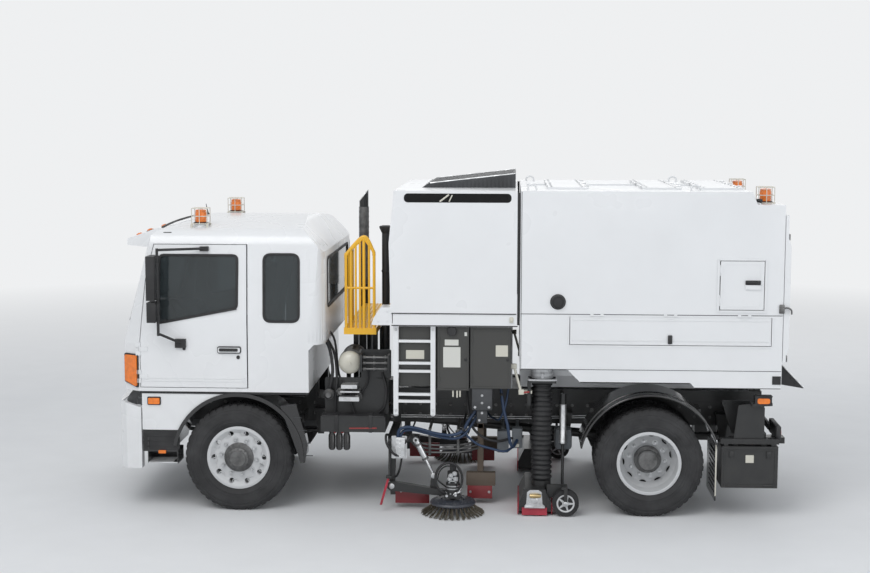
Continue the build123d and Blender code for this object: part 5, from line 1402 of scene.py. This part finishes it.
class SWEEPER_OT_suction_gear(bpy.types.Operator):
    """Corrugated suction hoses, nozzle plates, rubber flaps and castor fittings"""

    bl_idname = "sweeper.suction_gear"
    bl_label = "Suction gear"

    def execute(self, context):
        rows = [(corrugated, 0.303, 1.238, 20)]
        hoses = piece("suction_hose", "rubber", None, rows, sharp=60)
        for (tag, side), hose in zip(BOTH, hoses):
            high, low = (hose_x, side * hose_y, 1.23), (hose_x, side * hose_y, 0.31)
            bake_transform(hose)
            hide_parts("hose" + tag)
        rows = [(band, (hose_x, hose_y, z), UP, 0.0975, 0.020) for z in (1.278, 1.318)]
        rows.append((box, (hose_x - 0.015, 1.095, 1.283), (hose_x + 0.015, 1.118, 1.333), 0.004))
        arch = (
            (-0.125, 1.06), (-0.125, 1.115), (-0.07, 1.125), (0.07, 1.125), (0.125, 1.115), (0.125, 1.06)
        )
        rows.append((pipe, 0.010, [(hose_x + dx, y, 1.270) for dx, y in arch]))
        piece("hose_clamp", "silver", "hopper", rows)

        # Bright side plate with its boss, the brass spray jet, and bolts along the nozzle
        body = "nozzle_@"
        outline = [
            (0.655, 0.075), (0.838, 0.075), (0.838, 0.098), (0.820, 0.112), (0.812, 0.225), (0.782, 0.246),
            (0.702, 0.246), (0.676, 0.225), (0.668, 0.112), (0.655, 0.100),
        ]
        places = [(x, 1.218, z) for z in (0.215, 0.125) for x in (0.690, 0.800)]
        places += [(0.668, 1.218, 0.087), (0.828, 1.218, 0.087)]
        boss = [(0.034, -0.002), (0.034, 0.008), (0.022, 0.013), (0.022, 0.020), (0, 0.022)]
        rows = [
            (slab, outline, 1.2125, 1.2185),
            (box, (0.652, 1.214, 0.078), (0.842, 1.240, 0.096), 0.003),
            (turned, (0.745, 1.2175, 0.150), OUT, boss, 28),
            (bolts, places, OUT, 0.016, 0.010),
        ]
        piece("nozzle_plate", "aluminium", body, rows)
        jet = [(0, -0.045), (0.016, -0.045), (0.020, -0.02), (0.020, 0.03), (0.014, 0.06), (0, 0.06)]
        piece("nozzle_jet", "brass", body, [(turned, (0.745, 1.236, 0.195), AFT, jet, 20)])
        ys = spread(0.58, 1.16, 8)
        rows = [(bolts, [(x, y, 0.105) for y in ys], way, 0.016) for x, way in ((0.600, FORE), (0.900, AFT))]
        piece("nozzle_bolts", "steel", body, rows)
        rows = []
        low = 0.012
        for x in (0.588, 0.904):
            edge = ((0, 0.118), (0.012, 0.118), (0.010, 0.06), (0.006, low), (-0.001, low), (0, 0.06))
            rows.append((slab, [(x + dx, z) for dx, z in edge], 0.53, 1.195))
        flap = []
        for x in spread(0.628, 0.862, 9):
            sway = 1.228 + 0.003 * math.sin(x * 60)
            flap.append([(x, 1.2135, 0.079), (x, 1.2215, 0.079), (x, sway + 0.007, low), (x, sway, low)])
        rows.append((sections, flap))
        piece("nozzle_flaps", "red_rubber", body, rows)

        # Castor: spoked bright rim, tread ribs and the fork's pin
        centre = Vector((1.034, 1.2, 0.128))
        rim = [
            (0.084, -0.004), (0.084, 0.004), (0.078, 0.006), (0.066, -0.002), (0.030, -0.002),
            (0.030, 0.004), (0.020, 0.006), (0, 0.006),
        ]
        rows = []
        for out in (-1, 1):
            face = centre + Vector((0, out * 0.042, 0))
            rows.append((turned, face, (0, out, 0), rim, 40))
            rows += [(castor_spoke, face, out, 2 * math.pi * k / 5) for k in range(5)]
        piece("castor_rim", "silver", "castor_@", rows)
        places = [centre + Vector((0, y - 0.005, 0)) for y in (-0.026, 0, 0.026)]
        rows = each(band, places, OUT, 0.1245, 0.010, 0.0008, 48)
        piece("castor_tread", "rubber", "castor_@", rows)
        piece("castor_pin", "steel", body, [(knob, centre + Vector((0, 0.063, 0)), OUT, 0.022, 0.012)])
        sleeve = [
            (0.0302, 0.0), (0.036, 0.002), (0.036, 0.024), (0.033, 0.028), (0.033, 0.372), (0.0302, 0.375)
        ]
        rows = [(turned, (1.010, 0.970, 0.643), UP, sleeve, 28, True)]
        piece("nozzle_lift_sleeves", "aluminium", TRUCK, rows)

        # Prop rod between the hose's carrier and the cabinets, with its red pin
        rows = [
            (rod, (0.545, 1.135, 1.400), (0.612, 1.135, 1.160), 0.013),
            (box, (0.500, 1.115, 1.375), (0.572, 1.152, 1.425), 0.006),
            (box, (0.588, 1.115, 1.135), (0.640, 1.152, 1.185), 0.006),
            (box, (0.600, 1.050, 1.140), (0.715, 1.128, 1.170), 0.004),
            (box, (0.676, 1.050, 1.140), (0.700, 1.128, 1.262), 0.004),
        ]
        piece("prop_rod", "cream", TRUCK, rows)
        piece("prop_pin", "red", TRUCK, [(rod, (0.600, 1.142, 1.150), (0.690, 1.142, 1.162), 0.009)])
        return {"FINISHED"}


class SWEEPER_OT_gear_lines(bpy.types.Operator):
    """Red boards, valve blocks, steel pipes and clipped hoses of the sweeping gear"""

    bl_idname = "sweeper.gear_lines"
    bl_label = "Sweep gear lines"

    def execute(self, context):
        rows = [
            (box, (-0.575, 0.981, 0.048), (-0.250, 1.004, 0.200), 0.005),
            (box, (0.105, 0.775, 0.060), (0.345, 0.835, 0.195), 0.006),
        ]
        piece("red_boards", "maroon", TRUCK, rows)
        rows = [
            (bolts, [(x, 1.003, 0.165) for x in (-0.52, -0.425, -0.33)], OUT, 0.016),
            (bolts, [(x, 0.834, 0.125) for x in (0.135, 0.315)], OUT, 0.016),
        ]
        piece("board_bolts", "steel", TRUCK, rows)
        rows = [
            (box, (0.095, 0.755, 0.185), (0.375, 0.840, 0.315), 0.010),
            (box, (0.200, 0.770, 0.320), (0.260, 0.820, 0.790), 0.006),
            (box, (0.200, rail_y, 0.740), (0.260, 0.820, 0.790), 0.004),
        ]
        piece("brown_box", "brown", TRUCK, rows)

        # Valve block on the front post, with its spools and ports
        levels = spread(0.545, 0.695, 5)
        rows = [
            (plate, -0.600, -0.455, 0.510, 0.725, 1.112, 1.127, 0.01),
            (box, (-0.560, 1.125, 0.520), (-0.470, 1.175, 0.720), 0.006),
        ]
        rows += [(box, (-0.600, 1.045, z), (-0.565, 1.115, z + 0.04), 0.003) for z in (0.55, 0.65)]
        rows += [(rod, (-0.515, 1.172, z), (-0.515, 1.205, z), 0.011) for z in levels]
        rows.append((bolts, [(x, 1.174, z) for x in (-0.545, -0.485) for z in levels], OUT, 0.012))
        piece("valve_block", "aluminium", TRUCK, rows)
        rows = []
        for k, z in enumerate((0.600, 0.565, 0.530)):
            run = [(-0.375 - 0.03 * k, 0.968, 0.650), (-0.33, 0.95, z + 0.02), (-0.20, 0.94, z)]
            run += [(0.05, 0.92, z + 0.004), (0.215, 0.81, z + 0.02)]
            rows.append((pipe, 0.011, run))
        for x in (-0.25, 0.02):
            rows.append((box, (x - 0.012, 0.915, 0.505), (x + 0.012, 0.962, 0.765), 0.004))
            rows.append((box, (x - 0.012, rail_y, 0.735), (x + 0.012, 0.955, 0.765), 0.004))
        piece("gear_pipes", "cast", TRUCK, rows)

        # Blue and black hoses, from the valve block and the frame up to the cabinets
        blue = (
            (0.015, (-0.545, 1.14, 0.70), (-0.52, 1.15, 0.79), (-0.44, 1.15, 0.815), (-0.33, 1.14, 0.795),
             (-0.20, 1.12, 0.755), (-0.05, 1.11, 0.735), (0.06, 1.10, 0.77), (0.13, 1.09, 0.88),
             (0.21, 1.08, 1.00), (0.28, 1.06, 1.20)),
            (0.014, (-0.525, 1.13, 0.70), (-0.49, 1.13, 0.77), (-0.40, 1.13, 0.785), (-0.27, 1.12, 0.755),
             (-0.14, 1.10, 0.715), (0.0, 1.09, 0.70), (0.09, 1.08, 0.745), (0.17, 1.06, 0.86),
             (0.25, 1.04, 1.0), (0.32, 1.02, 1.20)),
            (0.012, (0.06, 1.08, 0.78), (0.13, 1.06, 0.70), (0.22, 1.06, 0.635), (0.34, 1.06, 0.60),
             (0.47, 1.03, 0.57), (0.57, 0.89, 0.61)),
            (0.015, (0.42, 1.02, 1.20), (0.45, 1.05, 0.98), (0.49, 1.07, 0.82), (0.51, 1.07, 0.68),
             (0.54, 1.02, 0.61), (0.58, 0.89, 0.65)),
            (0.010, (0.50, 1.00, 1.20), (0.47, 1.03, 1.02), (0.44, 1.05, 0.93), (0.40, 0.98, 0.86),
             (0.32, 0.70, 0.84), (0.28, 0.42, 0.84)),
        )
        piece("blue_hoses", "blue_hose", TRUCK, pipes(blue))
        black = (
            (0.012, (-0.60, 1.03, 0.70), (-0.65, 1.11, 0.73), (-0.64, 1.175, 0.66), (-0.58, 1.18, 0.57),
             (-0.53, 1.165, 0.54)),
            (0.010, (-0.50, 1.15, 0.53), (-0.52, 1.14, 0.42), (-0.55, 1.10, 0.34), (-0.58, 1.04, 0.31)),
            (0.011, (-0.44, 0.99, 0.70), (-0.42, 1.06, 0.75), (-0.43, 1.14, 0.71), (-0.48, 1.165, 0.66)),
            (0.013, (0.10, 1.00, 1.19), (0.12, 1.02, 0.96), (0.16, 1.03, 0.80), (0.26, 1.02, 0.70),
             (0.40, 1.0, 0.66), (0.55, 0.88, 0.67)),
        )
        rows = pipes(black)
        rows.append((band, (0.063, 1.10, 0.785), (1, 0, 0.4), 0.014, 0.024, 0.007, 16))
        rows.append((box, (0.065, rail_y, 0.793), (0.085, 1.10, 0.811), 0.004))
        for x, y, z in ((0.268, 1.065, 1.13), (0.430, 1.03, 1.11)):
            rows.append((band, (x - 0.012, y, z), (1, 0, 0.4), 0.014, 0.024, 0.007, 16))
            rows.append((box, (x - 0.010, y - 0.025, z), (x + 0.010, y - 0.012, 1.199), 0.003))
        piece("black_lines", "rubber", TRUCK, rows)

        # Front rubber strip of the gear on its hanger
        rows = []
        for t in spread(0, 1, 8):
            x, z = -0.625 - 0.075 * t, 0.34 - 0.27 * t
            a, b = x - 0.010, x + 0.012
            rows.append([(a, 1.135, z), (b, 1.135, z), (b, 1.165, z), (a, 1.165, z)])
        piece("front_strip", "red_rubber", TRUCK, [(sections, rows)])
        rows = [
            (rod, (-0.615, 1.150, 0.695), (-0.618, 1.150, 0.340), 0.011),
            (box, (-0.650, 1.125, 0.325), (-0.595, 1.175, 0.352), 0.005),
            (box, (-0.632, 1.040, 0.670), (-0.600, 1.165, 0.700), 0.005),
        ]
        piece("strip_hanger", "gear_black", TRUCK, rows)

        # Housings behind the suction hose on their arms, terminal box and bright clips
        rows = [
            (box, (0.390, 0.80, 0.53), (0.500, 0.92, 0.74), 0.012),
            (box, (0.530, 0.78, 0.57), (0.630, 0.90, 0.76), 0.012),
            (box, (0.935, 0.70, 0.56), (1.100, 0.90, 0.76), 0.030),
        ]
        for x in (0.445, 0.580, 1.020):
            rows.append((box, (x - 0.015, rail_y, 0.722), (x + 0.015, 0.82, 0.752), 0.004))
        piece("grey_housings", "grey_plastic", TRUCK, rows)
        rows = [
            (box, (0.555, 0.895, 0.585), (0.600, 0.915, 0.615), 0.004),
            (box, (0.01, 1.185, 1.108), (0.025, 1.19, 1.178), 0.002),
        ]
        rows += [(rod, (x, 1.185, 1.115), (x, 1.185, 1.180), 0.008, 8) for x in (-0.02, 0.045)]
        piece("bright_clips", "cream", TRUCK, rows)
        rows = [
            (box, (0.155, 1.10, 0.99), (0.345, 1.19, 1.198), 0.010),
            (box, (0.20, 1.09, 0.86), (0.30, 1.16, 1.00), 0.008),
        ]
        piece("terminal_box", "dark_grey", TRUCK, rows)
        places = [(x, 1.189, z) for x, z in ((0.185, 1.02), (0.25, 1.06), (0.25, 1.13), (0.315, 1.02))]
        rows = [(bolts, places, OUT, 0.015)]
        rows.append((bolts, [(0.25, 1.159, 0.96), (0.225, 1.159, 0.89)], OUT, 0.015))
        piece("terminal_bolts", "steel", TRUCK, rows)
        return {"FINISHED"}


# Frame and rear end


class SWEEPER_OT_rear_details(bpy.types.Operator):
    """Mudguard edges, flap edges, toolbox doors, lamps and the tow ball's fittings"""

    bl_idname = "sweeper.rear_details"
    bl_label = "Rear end details"

    def execute(self, context):
        x, z = rear_axle_x, hub_z
        rows = [(pipe, 0.009, arc(x, 1.232, z, 0.650, 0.650, 22, 164, 33), 8, 1)]
        rows.append((pipe, 0.007, arc(x, 1.06, z, 0.652, 0.652, 22, 164, 33), 8, 1))
        piece("guard_edges", "gloss_black", TRUCK, rows)
        piece("flap_edge", "cream", TRUCK, [(box, (2.4095, 1.205, 0.215), (2.4235, 1.222, 0.70), 0.003)])
        rows = [(box, (2.406, 0.80, z), (2.4095, 1.19, z + 0.010), 0.001) for z in spread(0.24, 0.62, 9)]
        rows.append((bolts, [(2.4205, y, 0.675) for y in spread(0.78, 1.16, 5)], AFT, 0.018))
        piece("flap_ribs", "rubber", TRUCK, rows)

        # Toolbox: door edge, hinges, latches, lid and a small blank plate
        rows = [
            (frame_strip, 2.492, 2.968, 0.311, 0.653, 1.200, 0.012, 0.005),
            (box, (2.470, 0.885, 0.672), (2.990, 1.202, 0.682), 0.004),
        ]
        for x in (2.56, 2.90):
            rows.append((rod, (x - 0.04, 1.204, 0.318), (x + 0.04, 1.204, 0.318), 0.009))
            rows.append((box, (x - 0.022, 1.199, 0.575), (x + 0.022, 1.212, 0.640), 0.006))
        rows += [(box, (x - 0.025, 0.92, 0.68), (x + 0.025, 1.16, 0.72), 0.006) for x in (2.60, 2.86)]
        piece("toolbox_fittings", "black", TRUCK, rows)
        piece("toolbox_plate", "cream", TRUCK, [(plate, 2.690, 2.765, 0.530, 0.602, 1.199, 1.2045)])

        # Side lamp under its bracket, and the tail lamps
        piece("rear_side_lamp", "amber", TRUCK, [(plate, 2.785, 2.900, 1.085, 1.135, 1.198, 1.210, 0.02)])
        rows = [
            (box, (2.764, 1.11, 1.145), (2.925, 1.202, 1.156), 0.004),
            (plate, 2.772, 2.912, 1.077, 1.145, 1.198, 1.2015, 0.01),
        ]
        piece("rear_lamp_bracket", "plastic", TRUCK, rows)
        places = [(3.020, y, 0.795) for y in (0.795, 0.930, 1.065)]
        lens = [(0.054, -0.002), (0.052, 0.006), (0.030, 0.011), (0, 0.012)]
        rows = [
            (box, (2.975, 0.72, 0.730), (3.022, 1.14, 0.860), 0.010),
            (box, (2.955, 0.40, 0.76), (2.985, 0.80, 0.82), 0.004),
        ]
        piece("tail_lamp_case", "plastic", TRUCK, rows)
        piece("tail_lamp_red", "red_lens", TRUCK, [(turned, p, AFT, lens, 28) for p in places[::2]])
        piece("tail_lamp_amber", "amber", TRUCK, [(turned, places[1], AFT, lens, 28)])

        # Bolted plates beside the frame, between the mudguard and the box
        rows = [(slab, [(2.50, 1.055), (2.86, 1.055), (2.70, 0.74), (2.60, 0.74)], 0.878, 0.892, 0.02)]
        places = [(x, 0.891, 1.02) for x in (2.54, 2.62, 2.70, 2.80)]
        places += [(2.64, 0.891, 0.80), (2.68, 0.891, 0.86)]
        rows.append((bolts, places, OUT, 0.020))
        rows += [(box, (x, rail_y, 0.88), (x + 0.03, 0.885, 0.92), 0.005) for x in (2.58, 2.70)]
        piece("bolted_plates", "black", TRUCK, rows)
        ball = [
            (0.030, -0.040), (0.030, -0.030), (0.018, -0.026), (0.016, -0.018), (0.0165, -0.016),
            (0.0235, -0.010), (0.0256, 0), (0.0235, 0.010), (0.0165, 0.0195), (0, 0.0258),
        ]
        rows = [(turned, (3.150, 0, 0.580), UP, ball, 32), (bolts, [(3.150, 0, 0.471)], DOWN, 0.045, 0.028)]
        piece("tow_ball_cap", "chrome", TRUCK, rows, MIDDLE)
        rows = [(box, (3.006, -0.26, 0.70), (3.014, 0.26, 0.82), 0.003)]
        rows += [(box, (2.972, y - 0.02, 0.74), (3.008, y + 0.02, 0.78), 0.003) for y in (-0.18, 0.18)]
        piece("rear_plate", "plate", TRUCK, rows, MIDDLE)
        return {"FINISHED"}


class SWEEPER_OT_frame_details(bpy.types.Operator):
    """Bolts of the rails, springs and axles, brake pipes and ribs behind the front wheels"""

    bl_idname = "sweeper.frame_details"
    bl_label = "Frame details"

    def execute(self, context):
        axles = (front_axle_x, rear_axle_x)
        stations = [x for x in spread(-2.9, 2.9, 40) if min(abs(x - axle) for axle in axles) > 0.1]
        places = [(x, rail_y, z) for x in stations for z in (0.80, 0.90)]
        piece("rail_bolts", "cast", TRUCK, [(bolts, places, OUT, 0.020)])
        rows = []
        for axle_x, y, reach in ((front_axle_x, 0.43, 0.09), (rear_axle_x, 0.53, 0.10)):
            corners = [(axle_x + dx, y + dy) for dx in (-reach, reach) for dy in (-0.045, 0.045)]
            rows += [(rod, (*p, 0.40), (*p, 0.68), 0.009) for p in corners]
            rows.append((bolts, [(*p, 0.402) for p in corners], DOWN, 0.026))
            low, high = axle_x - reach - 0.02, axle_x + reach + 0.02
            rows.append((box, (low, y - 0.065, 0.664), (high, y + 0.065, 0.682), 0.004))
        piece("spring_bolts", "cast", TRUCK, rows)
        rows = []
        for x, z in ((-1.60, 1.02), (-1.54, 0.90), (-1.49, 0.78), (-1.455, 0.66), (-1.435, 0.54)):
            rows.append((box, (x + 0.02, 1.190, z - 0.004), (x + 0.10, 1.1955, z + 0.004), 0.001))
        piece("guard_ribs", "dark_grey", TRUCK, rows)
        run = ((-1.30, 0.02), (-1.0, 0), (-0.3, 0.005), (0.6, 0), (1.3, 0.02))
        rows = [(pipe, 0.006, [(x, 0.438, z + dz) for x, dz in run]) for z in (0.765, 0.785)]
        piece("brake_pipes", "steel", TRUCK, rows)
        return {"FINISHED"}


def cushion(bm, corner, along, across, crown, facing=1, cells=28):
    """A crowned pad on a flat seat, with its sides pulled in and sewn channels."""
    corner, along, across = Vector(corner), Vector(along), Vector(across)
    out = along.cross(across).normalized() * facing
    top = []
    for u in spread(-1, 1, cells + 1):
        row = []
        for v in spread(-1, 1, cells + 1):
            lift = (1 - abs(u) ** 5) ** 0.5 * (1 - abs(v) ** 5) ** 0.5
            for line in (-0.33, 0.33):
                lift *= 1 - 0.22 * math.exp(-(((u - line) / 0.035) ** 2))
            lift *= 1 - 0.20 * math.exp(-(((abs(v) - 0.62) / 0.035) ** 2))
            pull_u, pull_v = u * (1 - 0.02 * (1 - v * v)), v * (1 - 0.02 * (1 - u * u))
            place = corner + along * (pull_u + 1) / 2 + across * (pull_v + 1) / 2
            row.append(bm.verts.new(place + out * crown * lift))
        top.append(row)
    for i in range(cells):
        for k in range(cells):
            bm.faces.new((top[i][k], top[i + 1][k], top[i + 1][k + 1], top[i][k + 1]))
    edge = [top[i][0] for i in range(cells)] + [top[cells][k] for k in range(cells)]
    edge += [top[cells - i][cells] for i in range(cells)] + [top[0][cells - k] for k in range(cells)]
    bm.faces.new(edge)


class SWEEPER_OT_cab_inside(bpy.types.Operator):
    """Seat cushions with their channels, belts, the steering wheel's grip and the dashboard dials"""

    bl_idname = "sweeper.cab_inside"
    bl_label = "Cab inside"

    def execute(self, context):
        seat = [(cushion, (-2.515, 0.298, 1.562), (0.56, 0, 0), (0, 0.524, 0), 0.055)]
        back = [(cushion, (-2.056, 0.308, 1.60), (0.150, 0, 0.65), (0, 0.504, 0), 0.060, -1)]
        for name, rows in (("seat_cushion", seat), ("seat_back", back)):
            for pad in piece(name, "cloth", TRUCK, rows):
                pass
        rows = [(box, (-1.895, 0.43, 2.315), (-1.795, 0.69, 2.465), 0.035)]
        rows += [(rod, (-1.850, y, 2.25), (-1.845, y, 2.34), 0.007) for y in (0.50, 0.62)]
        piece("head_rest", "cloth", TRUCK, rows)
        run = [(-1.83, 0.82, 2.30), (-1.90, 0.81, 2.10), (-1.97, 0.80, 1.85), (-2.02, 0.81, 1.56)]
        flat = ((-0.022, 0), (0.022, 0), (0.022, 0.003), (-0.022, 0.003))
        rows = [[(p.x + dx, p.y + dy, p.z) for dx, dy in flat] for p in smooth(run, 6)]
        piece("belt", "plastic", TRUCK, [(sections, rows)])
        axis = Vector((0.84, 0, 0.54)).normalized()
        centre = Vector((-2.690, 0.56, 1.736)) + axis * 0.012
        turns = [math.pi * k / 6 for k in range(12)]
        grip = [(0.2125 + 0.0165 * math.cos(a), 0.0165 * math.sin(a)) for a in turns]
        hub = [(0.062, 0.004), (0.060, 0.020), (0.048, 0.028), (0, 0.030)]
        rows = [(turned, centre, axis, grip, 56, True), (turned, centre, axis, hub, 32)]
        piece("steering_grip", "rubber", TRUCK, rows, LEFT)
        dial = ((1, -0.03), (1, 0.006), (0.85, 0.010), (0.8, 0.004), (0, 0.004))
        rows = []
        for y, r in ((0.66, 0.055), (0.54, 0.055), (0.44, 0.035)):
            profile = [(r * share, z) for share, z in dial]
            rows.append((turned, (-2.806, y, 1.69), (0.82, 0, -0.2), profile, 28))
        piece("dash_dials", "plastic", TRUCK, rows, LEFT)
        rows = [(box, (-2.80, y - 0.06, 1.655), (-2.765, y + 0.06, 1.70), 0.008) for y in (0.0, 0.20, 0.80)]
        piece("dash_vents", "plastic", TRUCK, rows)
        return {"FINISHED"}


def seen_directly(tree):
    """1 for what the camera sees, directly, mirrored or through glass, and 0 for light on the truck."""
    path = add_node(tree, "LightPath").outputs
    seen = arithmetic(tree, "MAXIMUM", path["Is Camera Ray"], path["Is Glossy Ray"])
    return arithmetic(tree, "MAXIMUM", seen, path["Is Transmission Ray"])


# The camera that was fitted to the photograph: pixels, metres and radians
picture_width = 870
focal_pixels = 1498.5
camera_place = (0.532, -14.9283, 3.7016)
yaw, pitch, roll = 0.05248, 0.11244, -0.00166


def shader_mix(tree, share, first, second, output):
    """Mixes two shaders for the tree's output node."""
    both = add_node(tree, "MixShader")
    for link, socket in zip((share, first.outputs[0], second.outputs[0]), both.inputs):
        tree.links.new(link, socket)
    tree.links.new(both.outputs[0], tree.nodes[output].inputs["Surface"])


class SWEEPER_OT_stage(bpy.types.Operator):
    """Floor, light and camera"""

    bl_idname = "sweeper.stage"
    bl_label = "Stage"

    def execute(self, context):
        scene = context.scene
        settings = scene.sweeper_stage
        scene.view_settings.view_transform = "Standard"
        bm = bmesh.new()
        bmesh.ops.create_grid(bm, x_segments=2, y_segments=2, size=60.0)
        mesh = bpy.data.meshes.new("floor")
        bm.to_mesh(mesh)
        bm.free()
        material, tree, shader = new_material("floor_pale")
        set_inputs(shader, Roughness=0.9)
        pale = tuple(settings.floor)
        patches = ramp(tree, noise(tree, 2.0, 4.0), 0.3, 0.7, 0, 1)
        tint = colour_mix(tree, patches, pale, darker(pale, 0.97))
        tree.links.new(tint, shader.inputs["Base Color"])
        # Far from the truck the floor turns into the colour of the background
        place = add_node(tree, "TexCoord")
        reach = add_node(tree, "VectorMath")
        reach.operation = "LENGTH"
        tree.links.new(place.outputs["Object"], reach.inputs[0])
        far = ramp(tree, reach.outputs["Value"], 7.0, 20.0, 0, 1)
        share = arithmetic(tree, "MULTIPLY", far, seen_directly(tree))
        glow = add_node(tree, "Emission", Color=(*settings.background, 1))
        shader_mix(tree, share, shader, glow, "Material Output")
        mesh.materials.append(material)
        floor = bpy.data.objects.new("floor", mesh)
        scene.collection.objects.link(floor)

        world = bpy.data.worlds.new("sky")
        world.use_nodes = True
        tree = world.node_tree
        daylight = set_inputs(
            tree.nodes["Background"], Color=(0.93, 0.96, 1.0, 1), Strength=settings.daylight
        )
        backdrop = add_node(tree, "Background", Color=(*settings.background, 1))
        shader_mix(tree, seen_directly(tree), daylight, backdrop, "World Output")
        scene.world = world

        def area(name, place, target, size, power, colour=(1, 1, 1)):
            light = bpy.data.lights.new(name, "AREA")
            light.energy = power
            light.size = size
            light.color = colour
            lamp = bpy.data.objects.new(name, light)
            lamp.location = place
            lamp.rotation_euler = (Vector(target) - Vector(place)).to_track_quat("-Z", "Y").to_euler()
            scene.collection.objects.link(lamp)

        area("key", (-4, -9, 10), (0, 0, 1.2), 8.0, settings.key_power)
        area("fill", (8, -8, 5), (1, 0, 1.2), 8.0, settings.key_power * 0.35, (0.95, 0.97, 1.0))
        area("back", (2, 10, 9), (0, 0, 1.5), 9.0, settings.key_power * 0.5)

        camera = bpy.data.cameras.new("camera")
        camera.sensor_width = 36.0
        camera.lens = focal_pixels / picture_width * camera.sensor_width
        camera.clip_end = 200.0
        eye = bpy.data.objects.new("camera", camera)
        right = Vector((math.cos(yaw), math.sin(yaw), 0))
        level = Vector((-math.sin(yaw), math.cos(yaw), 0))
        ahead = level * math.cos(pitch) + Vector((0, 0, -math.sin(pitch)))
        down = -(Vector((0, 0, math.cos(pitch))) + level * math.sin(pitch))
        across = right * math.cos(roll) + down * math.sin(roll)
        below = -right * math.sin(roll) + down * math.cos(roll)
        turn = Matrix((across, -below, -ahead)).transposed()
        eye.matrix_world = Matrix.Translation(camera_place) @ turn.to_4x4()
        scene.collection.objects.link(eye)
        scene.camera = eye
        return {"FINISHED"}


class SWEEPER_PT_pieces(bpy.types.Panel):
    """Lists the truck's pieces"""

    bl_label = "Street sweeper"
    bl_idname = "SWEEPER_PT_pieces"
    bl_space_type = "VIEW_3D"
    bl_region_type = "UI"
    bl_category = "Sweeper"

    def draw(self, context):
        for operator in OPERATORS:
            self.layout.operator(operator.bl_idname)
        for group in (
            context.scene.sweeper_paint,
            context.scene.sweeper_tyres,
            context.scene.sweeper_stage,
        ):
            for name in group.__annotations__:
                self.layout.prop(group, name)


SETTINGS = (
    ("sweeper_paint", PaintSettings),
    ("sweeper_tyres", TyreSettings),
    ("sweeper_stage", StageSettings),
)
OPERATORS = (
    SWEEPER_OT_cad_finishes,
    SWEEPER_OT_tyres,
    SWEEPER_OT_wheels,
    SWEEPER_OT_cab_seals,
    SWEEPER_OT_cab_side_fittings,
    SWEEPER_OT_cab_roof_fittings,
    SWEEPER_OT_cab_front_fittings,
    SWEEPER_OT_mirror_fittings,
    SWEEPER_OT_catwalk_details,
    SWEEPER_OT_service_gear,
    SWEEPER_OT_cover_details,
    SWEEPER_OT_hopper_details,
    SWEEPER_OT_brushes,
    SWEEPER_OT_suction_gear,
    SWEEPER_OT_gear_lines,
    SWEEPER_OT_rear_details,
    SWEEPER_OT_frame_details,
    SWEEPER_OT_cab_inside,
    SWEEPER_OT_stage,
)


def register():
    for name, group in SETTINGS:
        bpy.utils.register_class(group)
        setattr(bpy.types.Scene, name, PointerProperty(type=group))
    for operator in OPERATORS:
        bpy.utils.register_class(operator)
    bpy.utils.register_class(SWEEPER_PT_pieces)


def unregister():
    bpy.utils.unregister_class(SWEEPER_PT_pieces)
    for operator in reversed(OPERATORS):
        bpy.utils.unregister_class(operator)
    for name, group in reversed(SETTINGS):
        delattr(bpy.types.Scene, name)
        bpy.utils.unregister_class(group)


def main():
    register()
    for operator in OPERATORS:
        group, name = operator.bl_idname.split(".")
        getattr(getattr(bpy.ops, group), name)()


if __name__ == "__main__":
    main()
